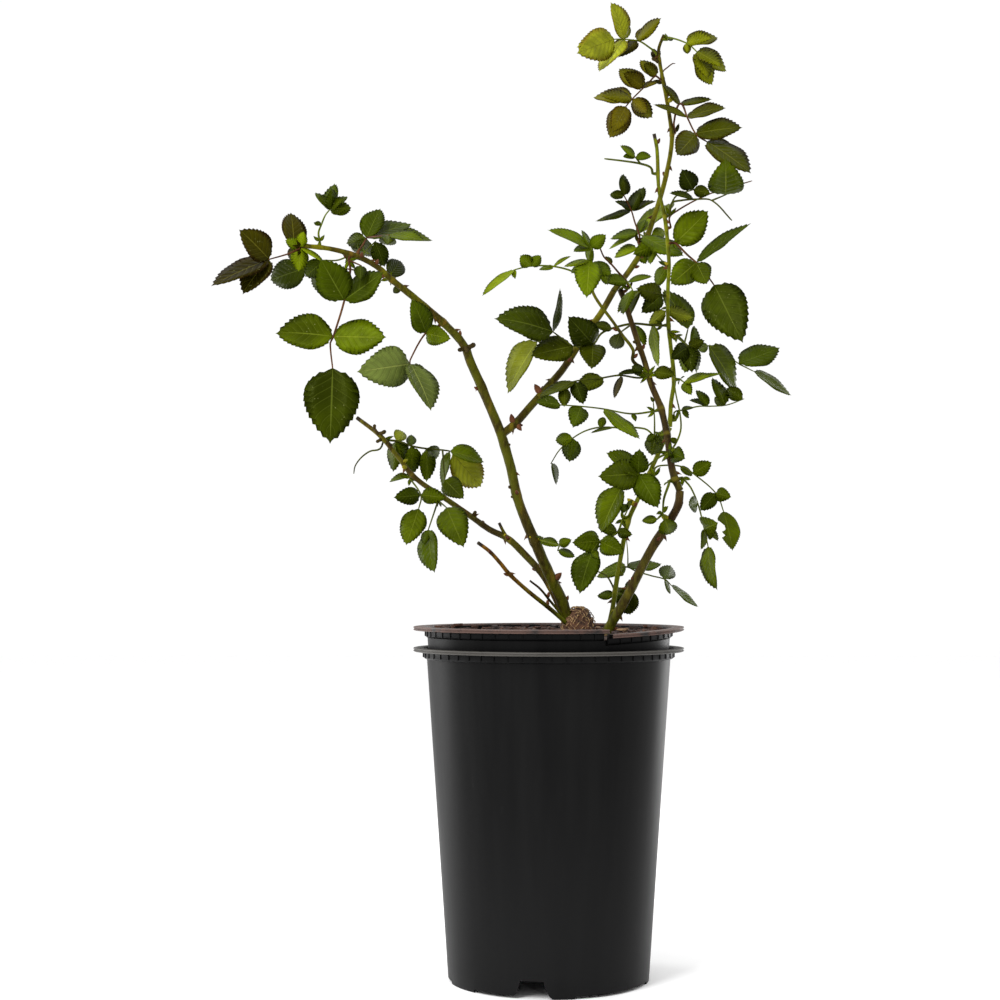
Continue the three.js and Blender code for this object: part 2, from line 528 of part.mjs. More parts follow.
const sprays = {
  left_tip_leaves: {
    on: 'left_cane_upper', at: [-196, 585.6], tone: LEAF_YOUNG,
    stalks: [
      { steps: [[-12, -6], [-17, -5]], back: -30, twin: 45,
        leaflets: [[2, -23, 24, 21], [2, -47, -20, 14], [2, -22, -26, 19]] },
      { steps: [[-9, -1]], back: 8, leaflets: [[1, -2, 29, 19], [1, -3, -12, 6]] },
      { steps: [[-4, -1]], back: -2, leaflets: [[1, -12, 6, 9], [1, 3, 13, 9], [1, -1, -20, 14], [1, 20, -12, 4]] },
    ],
  },
  left_hanging_leaf: {
    on: 'left_cane_upper', at: [-158.8, 579], tone: LEAF_GREEN,
    stalks: [
      { steps: [[0, -13], [-5, -25], [-9, -29], [-2, -4], [2, -21]], back: -22, twin: 60, thick: 2,
        leaflets: [[2, 32, 22, 20], [2, -19, 33, 28], [3, -46, 5, 27], [3, 43, -1, 27], [5, -2, -59, 42]] },
      { steps: [[9, -9]], back: -8, leaflets: [[1, 0, -12, 10]] },
    ],
  },
  left_top_shoot: {
    on: 'left_cane_upper', at: [-182.8, 585], tone: LEAF_FRESH,
    stalks: [
      { steps: [[-0.5, 12], [2.5, 7], [3, 7], [4, 5]], back: 24, twin: -30,
        leaflets: [[4, -11, 15, 8], [4, 3, 22, 12], [4, 18, 2, 12], [4, 14, 12, 8], [2, -6, 2, 4]] },
    ],
  },
  left_upper_leaves: {
    on: 'left_cane_upper', at: [-153, 577], tone: LEAF_GREEN,
    stalks: [
      { steps: [[4, 8], [4, 7]], back: 18, thick: 2,
        leaflets: [[2, 11, 25, 18], [2, 36, 13, 14], [2, -16, -4, 13], [2, -5, -15, 19]],
        stalks: [{ joint: 2, steps: [[18, 2]], back: 14, twin: -34, leaflets: [[1, 36, -3, 10], [1, -1, -9, 14]] }] },
    ],
  },
  left_long_leaf: {
    on: 'left_cane_upper', at: [-124.8, 558], spur: [0, 0, 1], tone: LEAF_DARK,
    stalks: [
      { steps: [[-12, 5], [-18, 3], [-16, 2], [-24, 0]], back: 52,
        leaflets: [[4, -31, -11, 24], [3, -20, -31, 28], [2, -12, -20, 15]] },
      { steps: [[-3, 3]], back: 9, leaflets: [[1, 10, 14, 16]] },
      { steps: [[7, -5]], back: 30, leaflets: [[1, -6, -6, 6]] },
    ],
  },
  knuckle_leaf: {
    on: 'left_cane_upper', at: [-84.4, 524], tone: LEAF_GREEN,
    stalks: [
      { steps: [[-14, -9], [-12, -21], [0, -4]], back: -42, twin: 55,
        leaflets: [[1, -10, 27, 18], [1, 18, -4, 16], [3, -40, -6, 31], [3, 18, -36, 19]] },
    ],
  },
  low_left_shoot: {
    on: 'low_left_cane', at: [-132.4, 431], spur: [0, 0, 1], tone: LEAF_DARK,
    stalks: [
      { steps: [[12, -2], [12, -4], [12, -2], [12, -1], [7, -1]], back: 26, thick: 2.2,
        leaflets: [[1, 6, 9, 12], [2, 0, 9, 9], [1, 10, -17, 11], [1, -2, -25, 13], [3, 11, -7, 14],
          [5, -8, -30, 8], [5, 28, -8, 14], [3, 1, -27, 14], [2, 1, -24, 15]],
        stalks: [
          { joint: 5, steps: [[1, -2]], back: 10, leaflets: [[1, 24, -28, 28]] },
          { joint: 4, steps: [[2, -25]], back: -20, leaflets: [[1, 14, -14, 18]] },
        ] },
      { steps: [[-2, -8], [-8, -2], [-7, -5], [-5, -7], [-1, -6]], back: 16 },
    ],
  },
  low_left_leaf: {
    on: 'low_left_cane', at: [-110, 402], tone: LEAF_GREEN,
    stalks: [
      { steps: [[7, -17], [-2, -11]], back: -36, twin: 44,
        leaflets: [[1, -21, -2, 15], [1, 20, -2, 14], [2, -10, -30, 21]] },
      { steps: [[-4, -1]], back: 4, leaflets: [[1, -16, -3, 6]] },
    ],
  },
  low_left_long_leaf: {
    on: 'low_left_cane', at: [-86.8, 386], tone: LEAF_GREEN,
    stalks: [
      { steps: [[5, -10]], back: -22, twin: 50, leaflets: [[1, 13, -30, 26]] },
      { steps: [[-10, -28]], back: -40, leaflets: [[1, -4, -12, 8], [1, 3, -34, 17]] },
    ],
  },
  forward_twig_leaves: {
    on: 'forward_twig', at: [31.6, 560], tone: LEAF_FRESH,
    stalks: [
      { steps: [[0, 10], [1, 6], [1, 10]], back: -22, thick: 2,
        leaflets: [[2, -2, -28, 21], [3, -8, 14, 5], [2, 3, 15, 4], [3, -34, 15, 8], [3, -14, -3, 6],
          [2, -21, -6, 5], [3, 12, 10, 11]],
        stalks: [{ joint: 1, steps: [[10, 4]], back: 10, leaflets: [[1, 7, -19, 10]] }] },
    ],
  },
  forward_twig_long_leaf: {
    on: 'forward_twig', at: [32.4, 556], tone: LEAF_FRESH,
    stalks: [
      { steps: [[-12, 8], [-18, 5], [-18, 0], [-13, -3]], back: -30, twin: 62,
        leaflets: [[4, -27, -20, 6], [4, 0, -7, 4], [3, -9, 9, 11], [3, 8, 9, 9], [2, 14, 9, 3], [2, -12, -3, 4]] },
    ],
  },
  arch_shoot: {
    on: 'straight_cane_upper', at: [95.6, 522], tone: LEAF_DARK,
    stalks: [
      { steps: [[-14, 0], [-15, 1], [-17, -4], [-8, -4], [-7, -9], [-16, -1]], back: -52, thick: 2.4,
        leaflets: [[5, -18, 20, 24], [6, -34, -7, 21], [5, -1, -18, 21], [3, -15, 3, 8], [1, 6, -34, 9], [2, 10, -18, 7]],
        stalks: [
          { joint: 6, steps: [[-16, 12]], back: -10, leaflets: [[1, -45, 14, 25], [1, 7, 35, 6]] },
          { joint: 6, steps: [[-29, 4]], back: 16, leaflets: [[1, -26, -41, 19]] },
          { joint: 2, steps: [[-11, -8]], back: 12, leaflets: [[1, -4, -14, 13]] },
        ] },
    ],
  },
  right_reaching_leaves: {
    on: 'straight_cane_upper', at: [95.6, 514], tone: LEAF_GREEN,
    stalks: [
      { steps: [[12, -6], [6, -4], [14, 2]], back: 34, thick: 2.2,
        leaflets: [[2, -15, -7, 10], [2, -6, -21, 14], [2, 4, 18, 9], [2, 6, -21, 8], [3, 25, -37, 19],
          [3, -9, -3, 9]],
        stalks: [
          { joint: 1, steps: [[3, 12]], back: 6, leaflets: [[1, -18, 34, 19]] },
          { joint: 3, steps: [[12, -7], [12, -8]], back: 24, leaflets: [[2, 33, 12, 20]],
            stalks: [{ joint: 2, steps: [[12, -6]], back: 12, leaflets: [[1, 31, -19, 9]] }] },
        ] },
    ],
  },
  inner_left_spray: {
    on: 'right_cane_upper', at: [79, 482], spur: [0, 0, -1], tone: LEAF_DARK,
    stalks: [
      { steps: [[-7, -2], [-16, 2], [-14, -2], [-23, -3], [-8, -5]], back: -40, thick: 1.8,
        leaflets: [[3, -22, -10, 14], [4, -29, -12, 8], [5, 0, -11, 10], [4, 7, -18, 13], [2, -5, -19, 6]] },
      { steps: [[-6, 3]], back: -6, leaflets: [[1, -20, -1, 4], [1, -9, 5, 9]] },
      { steps: [[5, 3]], back: -8, leaflets: [[1, 17, -2, 11]] },
    ],
  },
  second_left_spray: {
    on: 'right_cane_upper', at: [90, 455], tone: LEAF_GREEN,
    stalks: [
      { steps: [[-24, -4], [-23, 4], [-18, 2], [-16, 1]], back: -55,
        leaflets: [[2, 29, -25, 10], [3, -6, -16, 16], [4, -20, 3, 10], [1, 3, -6, 4]] },
    ],
  },
  hub_leaves: {
    on: 'right_cane_upper', at: [94.8, 435], tone: LEAF_GREEN,
    stalks: [
      { steps: [[-6, 1], [-4, -3]], back: 6, thick: 2,
        leaflets: [[2, -3, -16, 15], [2, 7, -7, 8], [2, -8, -4, 6]],
        stalks: [
          { joint: 2, steps: [[0, 14], [-1, 14]], back: 10, leaflets: [[2, -2, 5, 3]] },
          { joint: 2, steps: [[-8, 6], [-25, 1], [-12, 0], [-11, -3], [-10, -6], [-10, -9], [-7, -11]], back: 62,
            leaflets: [[2, -20, -4, 3], [3, 4, 9, 7], [5, -15, -2, 11], [5, -3, -19, 16], [7, 5, -18, 6]] },
        ] },
    ],
  },
  lower_middle_leaf: {
    on: 'right_cane_upper', at: [98.4, 419], spur: [0, 0, -1], tone: LEAF_GREEN,
    stalks: [
      { steps: [[-8, -2], [-18, -14], [-13, -10]], back: -34, thick: 2,
        leaflets: [[2, -30, -2, 24], [2, 16, -26, 21], [3, -16, -34, 20], [2, -24, 18, 14], [2, 1, 19, 16]] },
      { steps: [[3, 1]], back: -10, leaflets: [[1, 9, -4, 14], [1, -3, -2, 8]] },
      { steps: [[6, 11], [3, 10], [-1, 13], [-3, 14], [-2, 15]], back: -14, leaflets: [[1, -5, 3, 5]] },
    ],
  },
  crossing_leaf: {
    on: 'straight_cane_lower', at: [80.4, 403], tone: LEAF_GREEN,
    stalks: [
      { steps: [[5, 5], [7, 2], [14, -1], [10, -6], [18, -16], [6, -15]], back: -24, twin: 60,
        leaflets: [[3, 10, -8, 6], [4, 15, 9, 13], [5, -12, -14, 13], [5, 12, -3, 12], [6, 8, -31, 17]] },
    ],
  },
  right_hanging_leaf: {
    on: 'right_cane_upper', at: [102, 398], tone: LEAF_GREEN,
    stalks: [
      { steps: [[7, 0], [5, -6], [6, -14], [5, -20], [3, -14]], back: -34, twin: 30,
        leaflets: [[3, -8, -1, 13], [4, 9, 4, 19], [4, -2, -17, 5], [5, 4, -35, 12], [4, 12, -9, 6]] },
    ],
  },
  elbow_shoot: {
    on: 'right_cane_upper', at: [101.4, 399], tone: LEAF_GREEN,
    stalks: [
      { steps: [[-5, -4], [-4, -12], [-1, -12]], back: -28, thick: 2.6,
        leaflets: [[3, 4, 5, 4], [3, -5, -1, 3]],
        stalks: [
          { joint: 3, steps: [[-5, -5]], leaflets: [[1, -13, -2, 7]] },
          { joint: 3, steps: [[2, -5]], leaflets: [[1, 5, -14, 15]] },
        ] },
    ],
  },
  low_leaf: {
    on: 'straight_cane_lower', at: [63.6, 365], tone: LEAF_GREEN,
    stalks: [
      { steps: [[-9, -9], [-14, -7], [-6, -8]], back: -40, thick: 2, twin: 44,
        leaflets: [[1, 12, -2, 9], [1, -15, 4, 10], [2, -21, -1, 18], [2, 18, -9, 17], [3, -11, -33, 22], [3, 5, -6, 7]] },
      { steps: [[0, 10]], back: -6, leaflets: [[1, -6, 4, 8], [1, 4, 9, 4]] },
    ],
  },
  node_leaf: {
    on: 'left_cane', at: [-10, 349.6], tone: LEAF_GREEN,
    stalks: [
      { steps: [[4, 1], [16, -4]], back: -26,
        leaflets: [[1, 15, -5, 8], [2, 10, 4, 8]],
        stalks: [{ joint: 2, steps: [[-2, -5]], leaflets: [[1, 14, -6, 7]] }] },
    ],
  },
  low_right_leaf: {
    on: 'straight_cane_lower', at: [56.4, 323], tone: LEAF_GREEN,
    stalks: [
      { steps: [[2, 5], [6, 1], [6, -3], [13, -4], [11, -3], [5, -5]], back: 44,
        leaflets: [[2, -25, -7, 11], [2, 28, 2, 9], [5, 5, 11, 15], [5, 5, -12, 4], [6, 22, -18, 6]],
        stalks: [{ joint: 2, steps: [[0, 10], [-1, 12]], back: 8, thick: 1.3 }] },
    ],
  },
  foot_leaves: {
    on: 'straight_cane_lower', at: [52.4, 308], spur: [0, 0, 1], tone: LEAF_DARK,
    stalks: [
      { steps: [[8, 4]], back: 16, twin: 34,
        leaflets: [[1, 5, -23, 19], [1, -6, -11, 15], [1, 10, 3, 9]] },
      { steps: [[-1, -3]], back: 3, leaflets: [[1, -14, -1, 8]] },
      { steps: [[-2, 5], [-5, 8], [-8, 4]], back: 9, thick: 2 },
    ],
  },
  top_left_leaf: {
    on: 'middle_cane_upper', at: [88.4, 734], tone: LEAF_YOUNG,
    stalks: [
      { steps: [[-3, 6], [-6, 5], [-6, 4], [-4, 1], [-10, 1], [-8, 0]], back: -34, twin: 40,
        leaflets: [[4, 20, 18, 10], [4, -15, -14, 10], [5, -9, 30, 14], [5, -20, -27, 13], [6, -29, -11, 26]] },
    ],
  },
  upper_left_leaf: {
    on: 'middle_cane_upper', at: [92.4, 714], spur: [0, 0, 1], tone: LEAF_YOUNG,
    stalks: [
      { steps: [[-5, 6], [-2, 1], [-4, -4], [-6, -6], [-9, -9], [-5, -6]], back: 36, twin: -42,
        leaflets: [[2, -13, 14, 11], [4, 13, 6, 5], [4, -20, 16, 16], [5, -32, 4, 14], [5, 16, -15, 16],
          [6, -13, -25, 21]] },
      { steps: [[-1, 10], [4, 4], [4, 3], [2, 0]], back: 10, thick: 1.4 },
    ],
  },
  upper_right_leaf: {
    on: 'middle_cane_upper', at: [98, 674], tone: LEAF_YOUNG,
    stalks: [
      { steps: [[2, 10], [5, 15], [6, -12], [7, -13], [9, -6]], back: -44, twin: 38, thick: 1.9,
        leaflets: [[2, -14, 17, 6], [2, 26, 5, 6], [3, 30, 10, 10], [3, -27, 11, 5], [4, 37, 6, 17],
          [4, -16, -18, 21], [5, 36, -24, 18]] },
    ],
  },
  top_right_leaf: {
    on: 'middle_cane_upper', at: [91.6, 751], tone: LEAF_GREEN,
    stalks: [
      { steps: [[5, 1], [15, -5], [8, -7]], back: 26, twin: -38,
        leaflets: [[2, 26, 7, 13], [2, 1, -9, 7], [3, 26, -14, 14], [3, 12, -27, 17]] },
    ],
  },
  short_twig_leaves: {
    on: 'straight_cane_upper', at: [87.6, 643], tone: LEAF_GREEN,
    stalks: [
      { steps: [[-6, 5], [-8, 3], [-12, 2], [-17, 2]], back: -26, thick: 2.2,
        stalks: [{ joint: 2, steps: [[-5, 6]], back: -4, leaflets: [[1, -12, 10, 6], [1, -10, 1, 5], [1, 13, 1, 7]] }] },
    ],
  },
  young_leaf: {
    on: 'middle_cane_upper', at: [76, 586], tone: LEAF_YOUNG,
    stalks: [
      { steps: [[-3, 7], [-4, 12], [-3, 10], [-6, 12]], back: 30, twin: -24,
        leaflets: [[4, 0, 18, 10], [4, -12, 1, 8], [3, -13, 9, 6], [3, -29, -9, 6], [3, 10, 20, 12], [3, 20, 9, 6]] },
    ],
  },
  crown_leaves: {
    on: 'middle_cane_upper', at: [79, 592], spur: [0, 0, 1], tone: LEAF_FRESH,
    stalks: [
      { steps: [[-7, 3]], back: 14, leaflets: [[1, -24, -3, 8], [1, -25, -12, 5], [1, 5, 13, 6], [1, 27, 28, 14]] },
      { steps: [[5, -2]], back: 10, leaflets: [[1, 24, -13, 12], [1, 10, 9, 11], [1, -12, -11, 12]] },
      { steps: [[-8, -10]], back: 14, leaflets: [[1, -20, -6, 9], [1, 6, -12, 9]] },
      { steps: [[6, -12], [11, -12]], back: 18, twin: 50,
        leaflets: [[2, -7, 4, 4], [2, -10, -17, 11], [1, -8, 6, 12]] },
    ],
  },
  right_round_leaf: {
    on: 'straight_cane_upper', at: [92.8, 609], tone: LEAF_DARK,
    stalks: [
      { steps: [[6, 11], [4, 6], [14, 5]], back: -22, leaflets: [[3, -9, 16, 16], [3, 14, -3, 10]] },
      { steps: [[6, 11], [7, 2], [12, 1], [13, -1], [16, -16]], back: -40, thick: 2, leaflets: [[3, -20, 6, 5]],
        stalks: [{ joint: 4, steps: [[12, 5]], back: -12, twin: 40, leaflets: [[1, 0, 27, 28]] }] },
    ],
  },
  thin_right_twig: {
    on: 'straight_cane_upper', at: [94.4, 599], tone: LEAF_YOUNG,
    stalks: [
      { steps: [[3, 9], [6, 5], [10, 6], [8, 4], [12, 5], [30, 9]], back: 40, thick: 1.7 },
    ],
  },
  right_long_leaf: {
    on: 'straight_cane_upper', at: [95.6, 587], tone: LEAF_GREEN,
    stalks: [
      { steps: [[7, 0], [9, -9], [8, -7], [6, -7], [8, -11]], back: -32, twin: 48, thick: 2,
        leaflets: [[1, 27, 26, 25], [3, 43, 33, 9], [3, -21, -18, 21], [3, 9, -18, 18], [5, 22, -44, 36]] },
    ],
  },
  centre_leaves: {
    on: 'straight_cane_upper', at: [95.6, 546], tone: LEAF_DARK,
    stalks: [
      { steps: [[-5, 1], [-18, 4]], back: -16, thick: 1.9,
        leaflets: [[1, -20, 5, 16], [1, -16, -14, 15], [2, -10, -22, 6], [2, -19, -18, 7]] },
    ],
  },
  right_small_leaves: {
    on: 'straight_cane_upper', at: [98.8, 446], tone: LEAF_GREEN,
    stalks: [
      { steps: [[3, 6], [7, 2], [13, 3], [8, 0], [14, 1], [14, 5]], back: 26, thick: 1.6,
        leaflets: [[4, -9, 14, 8], [4, -15, 6, 5], [2, 10, 3, 4], [2, 6, -6, 5], [5, -9, 7, 9], [5, -10, 23, 11],
          [6, -13, 8, 12]] },
    ],
  },
  right_narrow_leaves: {
    on: 'straight_cane_upper', at: [99.8, 479], tone: LEAF_FRESH,
    stalks: [
      { steps: [[8, -2]], back: -20,
        leaflets: [[1, 22, 6, 7], [1, 31, 8, 4], [1, 6, -10, 9]] },
    ],
  },
  tip_twig: {
    on: 'right_cane_upper', at: [58, 548], tone: LEAF_YOUNG,
    stalks: [
      { steps: [[5, 8], [-7, 8], [-6, 7], [-6, 6], [-4, 10]], back: -24, thick: 1.9,
        leaflets: [[1, -20, 3, 8], [3, -5, 7, 4]] },
    ],
  },
};

// Assembly

const rose = new THREE.Group();

function add(solid, name, material) {
  rose.add(toMesh(solid, name, material));
}

add(cutFeet(potSolid(0, 0)), 'outer_pot', POT_BLACK);
add(splitLip(potSolid(NESTING_RISE, POT_WALL + POT_CLEARANCE)), 'inner_pot', POT_BLACK);
add(pottingMixSolid(), 'potting_mix', SOIL_BROWN);

const soilCut = SOIL_TOP + GAP;
add(graftKnobSolid().trimByPlane([0, 0, 1], soilCut), 'graft_knob', BARK_STRAW);

// Every cane is cut clear of the knob, of the potting mix, of the limb that it goes on from and of any cane
// that it crosses. A prickle that would touch another cane is left out.
const knobClear = graftKnobSolid(GAP);
const limbs = {};
const clearances = {};
Object.entries(canes).forEach(([name, cane], index) => {
  const prickles = prickleRoutes(cane, 40 + index)
    .filter((route) => !Object.values(limbs).some((limb) => touches(prickleSolid(route), limb)));
  const whole = (swell) => wasm.Manifold.union([
    caneSolid(cane, swell), ...prickles.map((route) => prickleSolid(route, swell)),
  ]);
  let solid = whole(0).trimByPlane([0, 0, 1], soilCut).subtract(knobClear);
  for (const earlier of Object.keys(limbs)) {
    if (earlier === cane.after || touches(solid, limbs[earlier])) solid = solid.subtract(clearances[earlier]);
  }
  limbs[name] = largestPiece(solid);
  clearances[name] = whole(GAP);
  add(limbs[name], name, cane.material);
});

// Every spray is cut clear of its own limb, and keeps off the other limbs and the sprays before it
const grown = [];
Object.entries(sprays).forEach(([name, spray], index) => {
  const random = seededRandom(700 + index);
  const ownLimb = clearances[spray.on];
  const otherLimbs = Object.keys(limbs).filter((limb) => limb !== spray.on).map((limb) => limbs[limb]);
  const foot = placeOn(spray.on, spray.at);
  const start = foot.place;
  const place = { start, spur: spurEnd(foot, spray), ownLimb, others: [...otherLimbs, ...grown], leaflets: [] };
  const spur = toSolid(limbGeometry([seen(start), seen(place.spur)], SPUR_WIDTH, SPUR_WIDTH * 0.8, TWIG_SIDES));
  const solids = [spur, ...spray.stalks.flatMap((stalk) => growStalk(stalk, start, place, random))];
  const solid = largestPiece(wasm.Manifold.union(solids).subtract(ownLimb));
  grown.push(solid);
  add(solid, name, spray.tone);
});

export default rose;
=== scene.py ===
"""A rose bush in nested nursery pots, dressed for its portrait.

The plant grows by the rule of the part's source, from the same tables: places are given as they look from
the front, across and up in millimetres, and how far back they lie. Here the canes get their bark, nodes and
prickles, the stalks their stipules, and the leaflets their toothed outlines.
"""

import math

import bmesh
import bpy
from mathutils import Matrix, Vector, noise
from mathutils.bvhtree import BVHTree
from mathutils.geometry import interpolate_bezier


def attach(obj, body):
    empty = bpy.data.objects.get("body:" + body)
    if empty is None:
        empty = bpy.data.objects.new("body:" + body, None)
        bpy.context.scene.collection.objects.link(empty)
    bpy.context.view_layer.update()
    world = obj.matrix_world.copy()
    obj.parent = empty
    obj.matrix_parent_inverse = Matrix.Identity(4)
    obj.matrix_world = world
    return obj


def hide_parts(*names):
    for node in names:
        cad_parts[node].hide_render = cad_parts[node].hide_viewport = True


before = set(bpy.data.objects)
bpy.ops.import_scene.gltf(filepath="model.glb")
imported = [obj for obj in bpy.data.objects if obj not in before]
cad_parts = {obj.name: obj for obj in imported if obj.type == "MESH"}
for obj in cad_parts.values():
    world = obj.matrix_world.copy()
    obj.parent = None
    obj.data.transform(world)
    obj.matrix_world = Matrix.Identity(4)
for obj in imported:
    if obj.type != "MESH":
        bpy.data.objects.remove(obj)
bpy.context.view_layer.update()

MM = 0.001

# Camera: level, with its horizon a little below the middle of the picture

VIEW_DISTANCE = 1520
EYE = Vector((-38.8, -VIEW_DISTANCE, 323)) * MM
LENS = 68.4
SENSOR_WIDTH = 36
HORIZON_DROP = 0.074


def place_camera():
    lens = bpy.data.cameras.new("portrait_camera")
    lens.lens = LENS
    lens.sensor_width = SENSOR_WIDTH
    lens.shift_y = HORIZON_DROP
    lens.clip_start = 0.01
    camera = bpy.data.objects.new("portrait_camera", lens)
    camera.location = EYE
    camera.rotation_euler = (math.radians(90), 0, 0)
    bpy.context.scene.collection.objects.link(camera)
    bpy.context.scene.camera = camera


place_camera()

# Driving sizes, in millimetres, as in the part's source

POT_RIM_WIDTH = 216
POT_SHOULDER_WIDTH = 194.4
POT_FOOT_WIDTH = 160.4
POT_HEIGHT = 264.5
POT_WALL = 1.2
POT_CLEARANCE = 0.35
LIP_HEIGHT = 3
BAND_HEIGHT = 6
BAND_DEPTH = 3.6
BASE_RAISE = 14
BASE_THICKNESS = 2.5
FOOT_RECESS = 2.2
NESTING_RISE = 16.8
SOIL_TOP = 275
FOOT_PADS = ((-73, -47), (-6, 13), (72, 98), (137, 163), (199, 225))
DRAIN_NOTCHES = (-10.6, 109.4, 229.4)
NOTCH_TOP_WIDTH = 18
NOTCH_FOOT_WIDTH = 33
KNOB_CENTRE = (24, 2, 280)
KNOB_SIZE = (13.5, 13, 17)

PRICKLE_LENGTH = 5
LEAFLET_RATIO = 0.7
ROOT_SHIFT = 1.2
TWIN_SCALE = 0.78
NARROWEST_TWIN = 13
SHORTEST_LEAFLET = 9
OWN_LIMB_REACH = 14
NEIGHBOUR_REACH = 3
SWINGS = (0, -0.2, 0.2, -0.45, 0.45, -0.7, 0.7)
SPUR_LENGTH = 3
SPUR_WIDTH = 3.4

# Finer sizes that only the dressed plant has: lengths in millimetres, turns round a pot in degrees and those
# of a cane or a leaf in radians, and the rest as shares or counts

RIM_STEPS = 96
CUT_BELOW = 5
RECESS_INWARD = 9
RECESS_OUTWARD = 8
NOTCH_OUTWARD = 10
NOTCH_CUT = 24
RIB_COUNT = 56
RIB_SIZE = (0.8, 1.2, 4.2)
RIB_STAND = 0.7
RIB_SINK = 0.75
RIB_FOOT_GAP = 1.4
SPLIT_TURN = 24.5
SPLIT_GAP = 0.7
SPLIT_SAG = 3.6
SAG_END = 88
CHIP_COUNT = 420
MIX_REACH = 93
BANK_START = 84
FIBRE_COUNT = 340
CANE_SIDES = 16
CANE_STEP = 1.8
CUT_RINGS = 4
RIDGE_TURNS = 0.05
RIDGE_DEPTH = 0.09
GRAIN_DEPTH = 0.035
PRICKLE_SHARE = 0.75
PRICKLE_WIDTH = 1.9
PRICKLE_BEND = 2.2
STALK_SIDES = 6
STALK_STEP = 3.0
NODE_SWELL = 0.16
NODE_REACH = 3.2
BARE_NODE_RISE = 0.4
STEEPEST_ROLL = math.radians(58)
BARE_NODE_SPACING = 34
BUD_LENGTH = 4.5
BUD_TURN = 2.4
STALK_WIDTH = 1.7
STALK_TAPER = 0.6
STEEPEST_LEAN = 0.8
STIPULE_LENGTH = 9
STIPULE_WIDTH = 2.8
LARGE_LEAFLET = 29
TINY_LEAFLET = 9
LEAFLET_SWELL = 0.035
TOOTH_DEPTH = 0.034
TOOTH_LEAN = 1.0
COARSEST_TEETH = 13
BITE_PLACE = (0.46, -1.0)
BITE_SIZE = (0.21, 0.78)

# Seeds of the random numbers

MIX_SEED = 5
KNOB_SEED = 17
PRICKLE_SEED = 40
SPRAY_SEED = 700
SPARE_SEED = 9000

# Canes: their places from foot to tip as (across, up, back), and their widths at the foot and at the tip

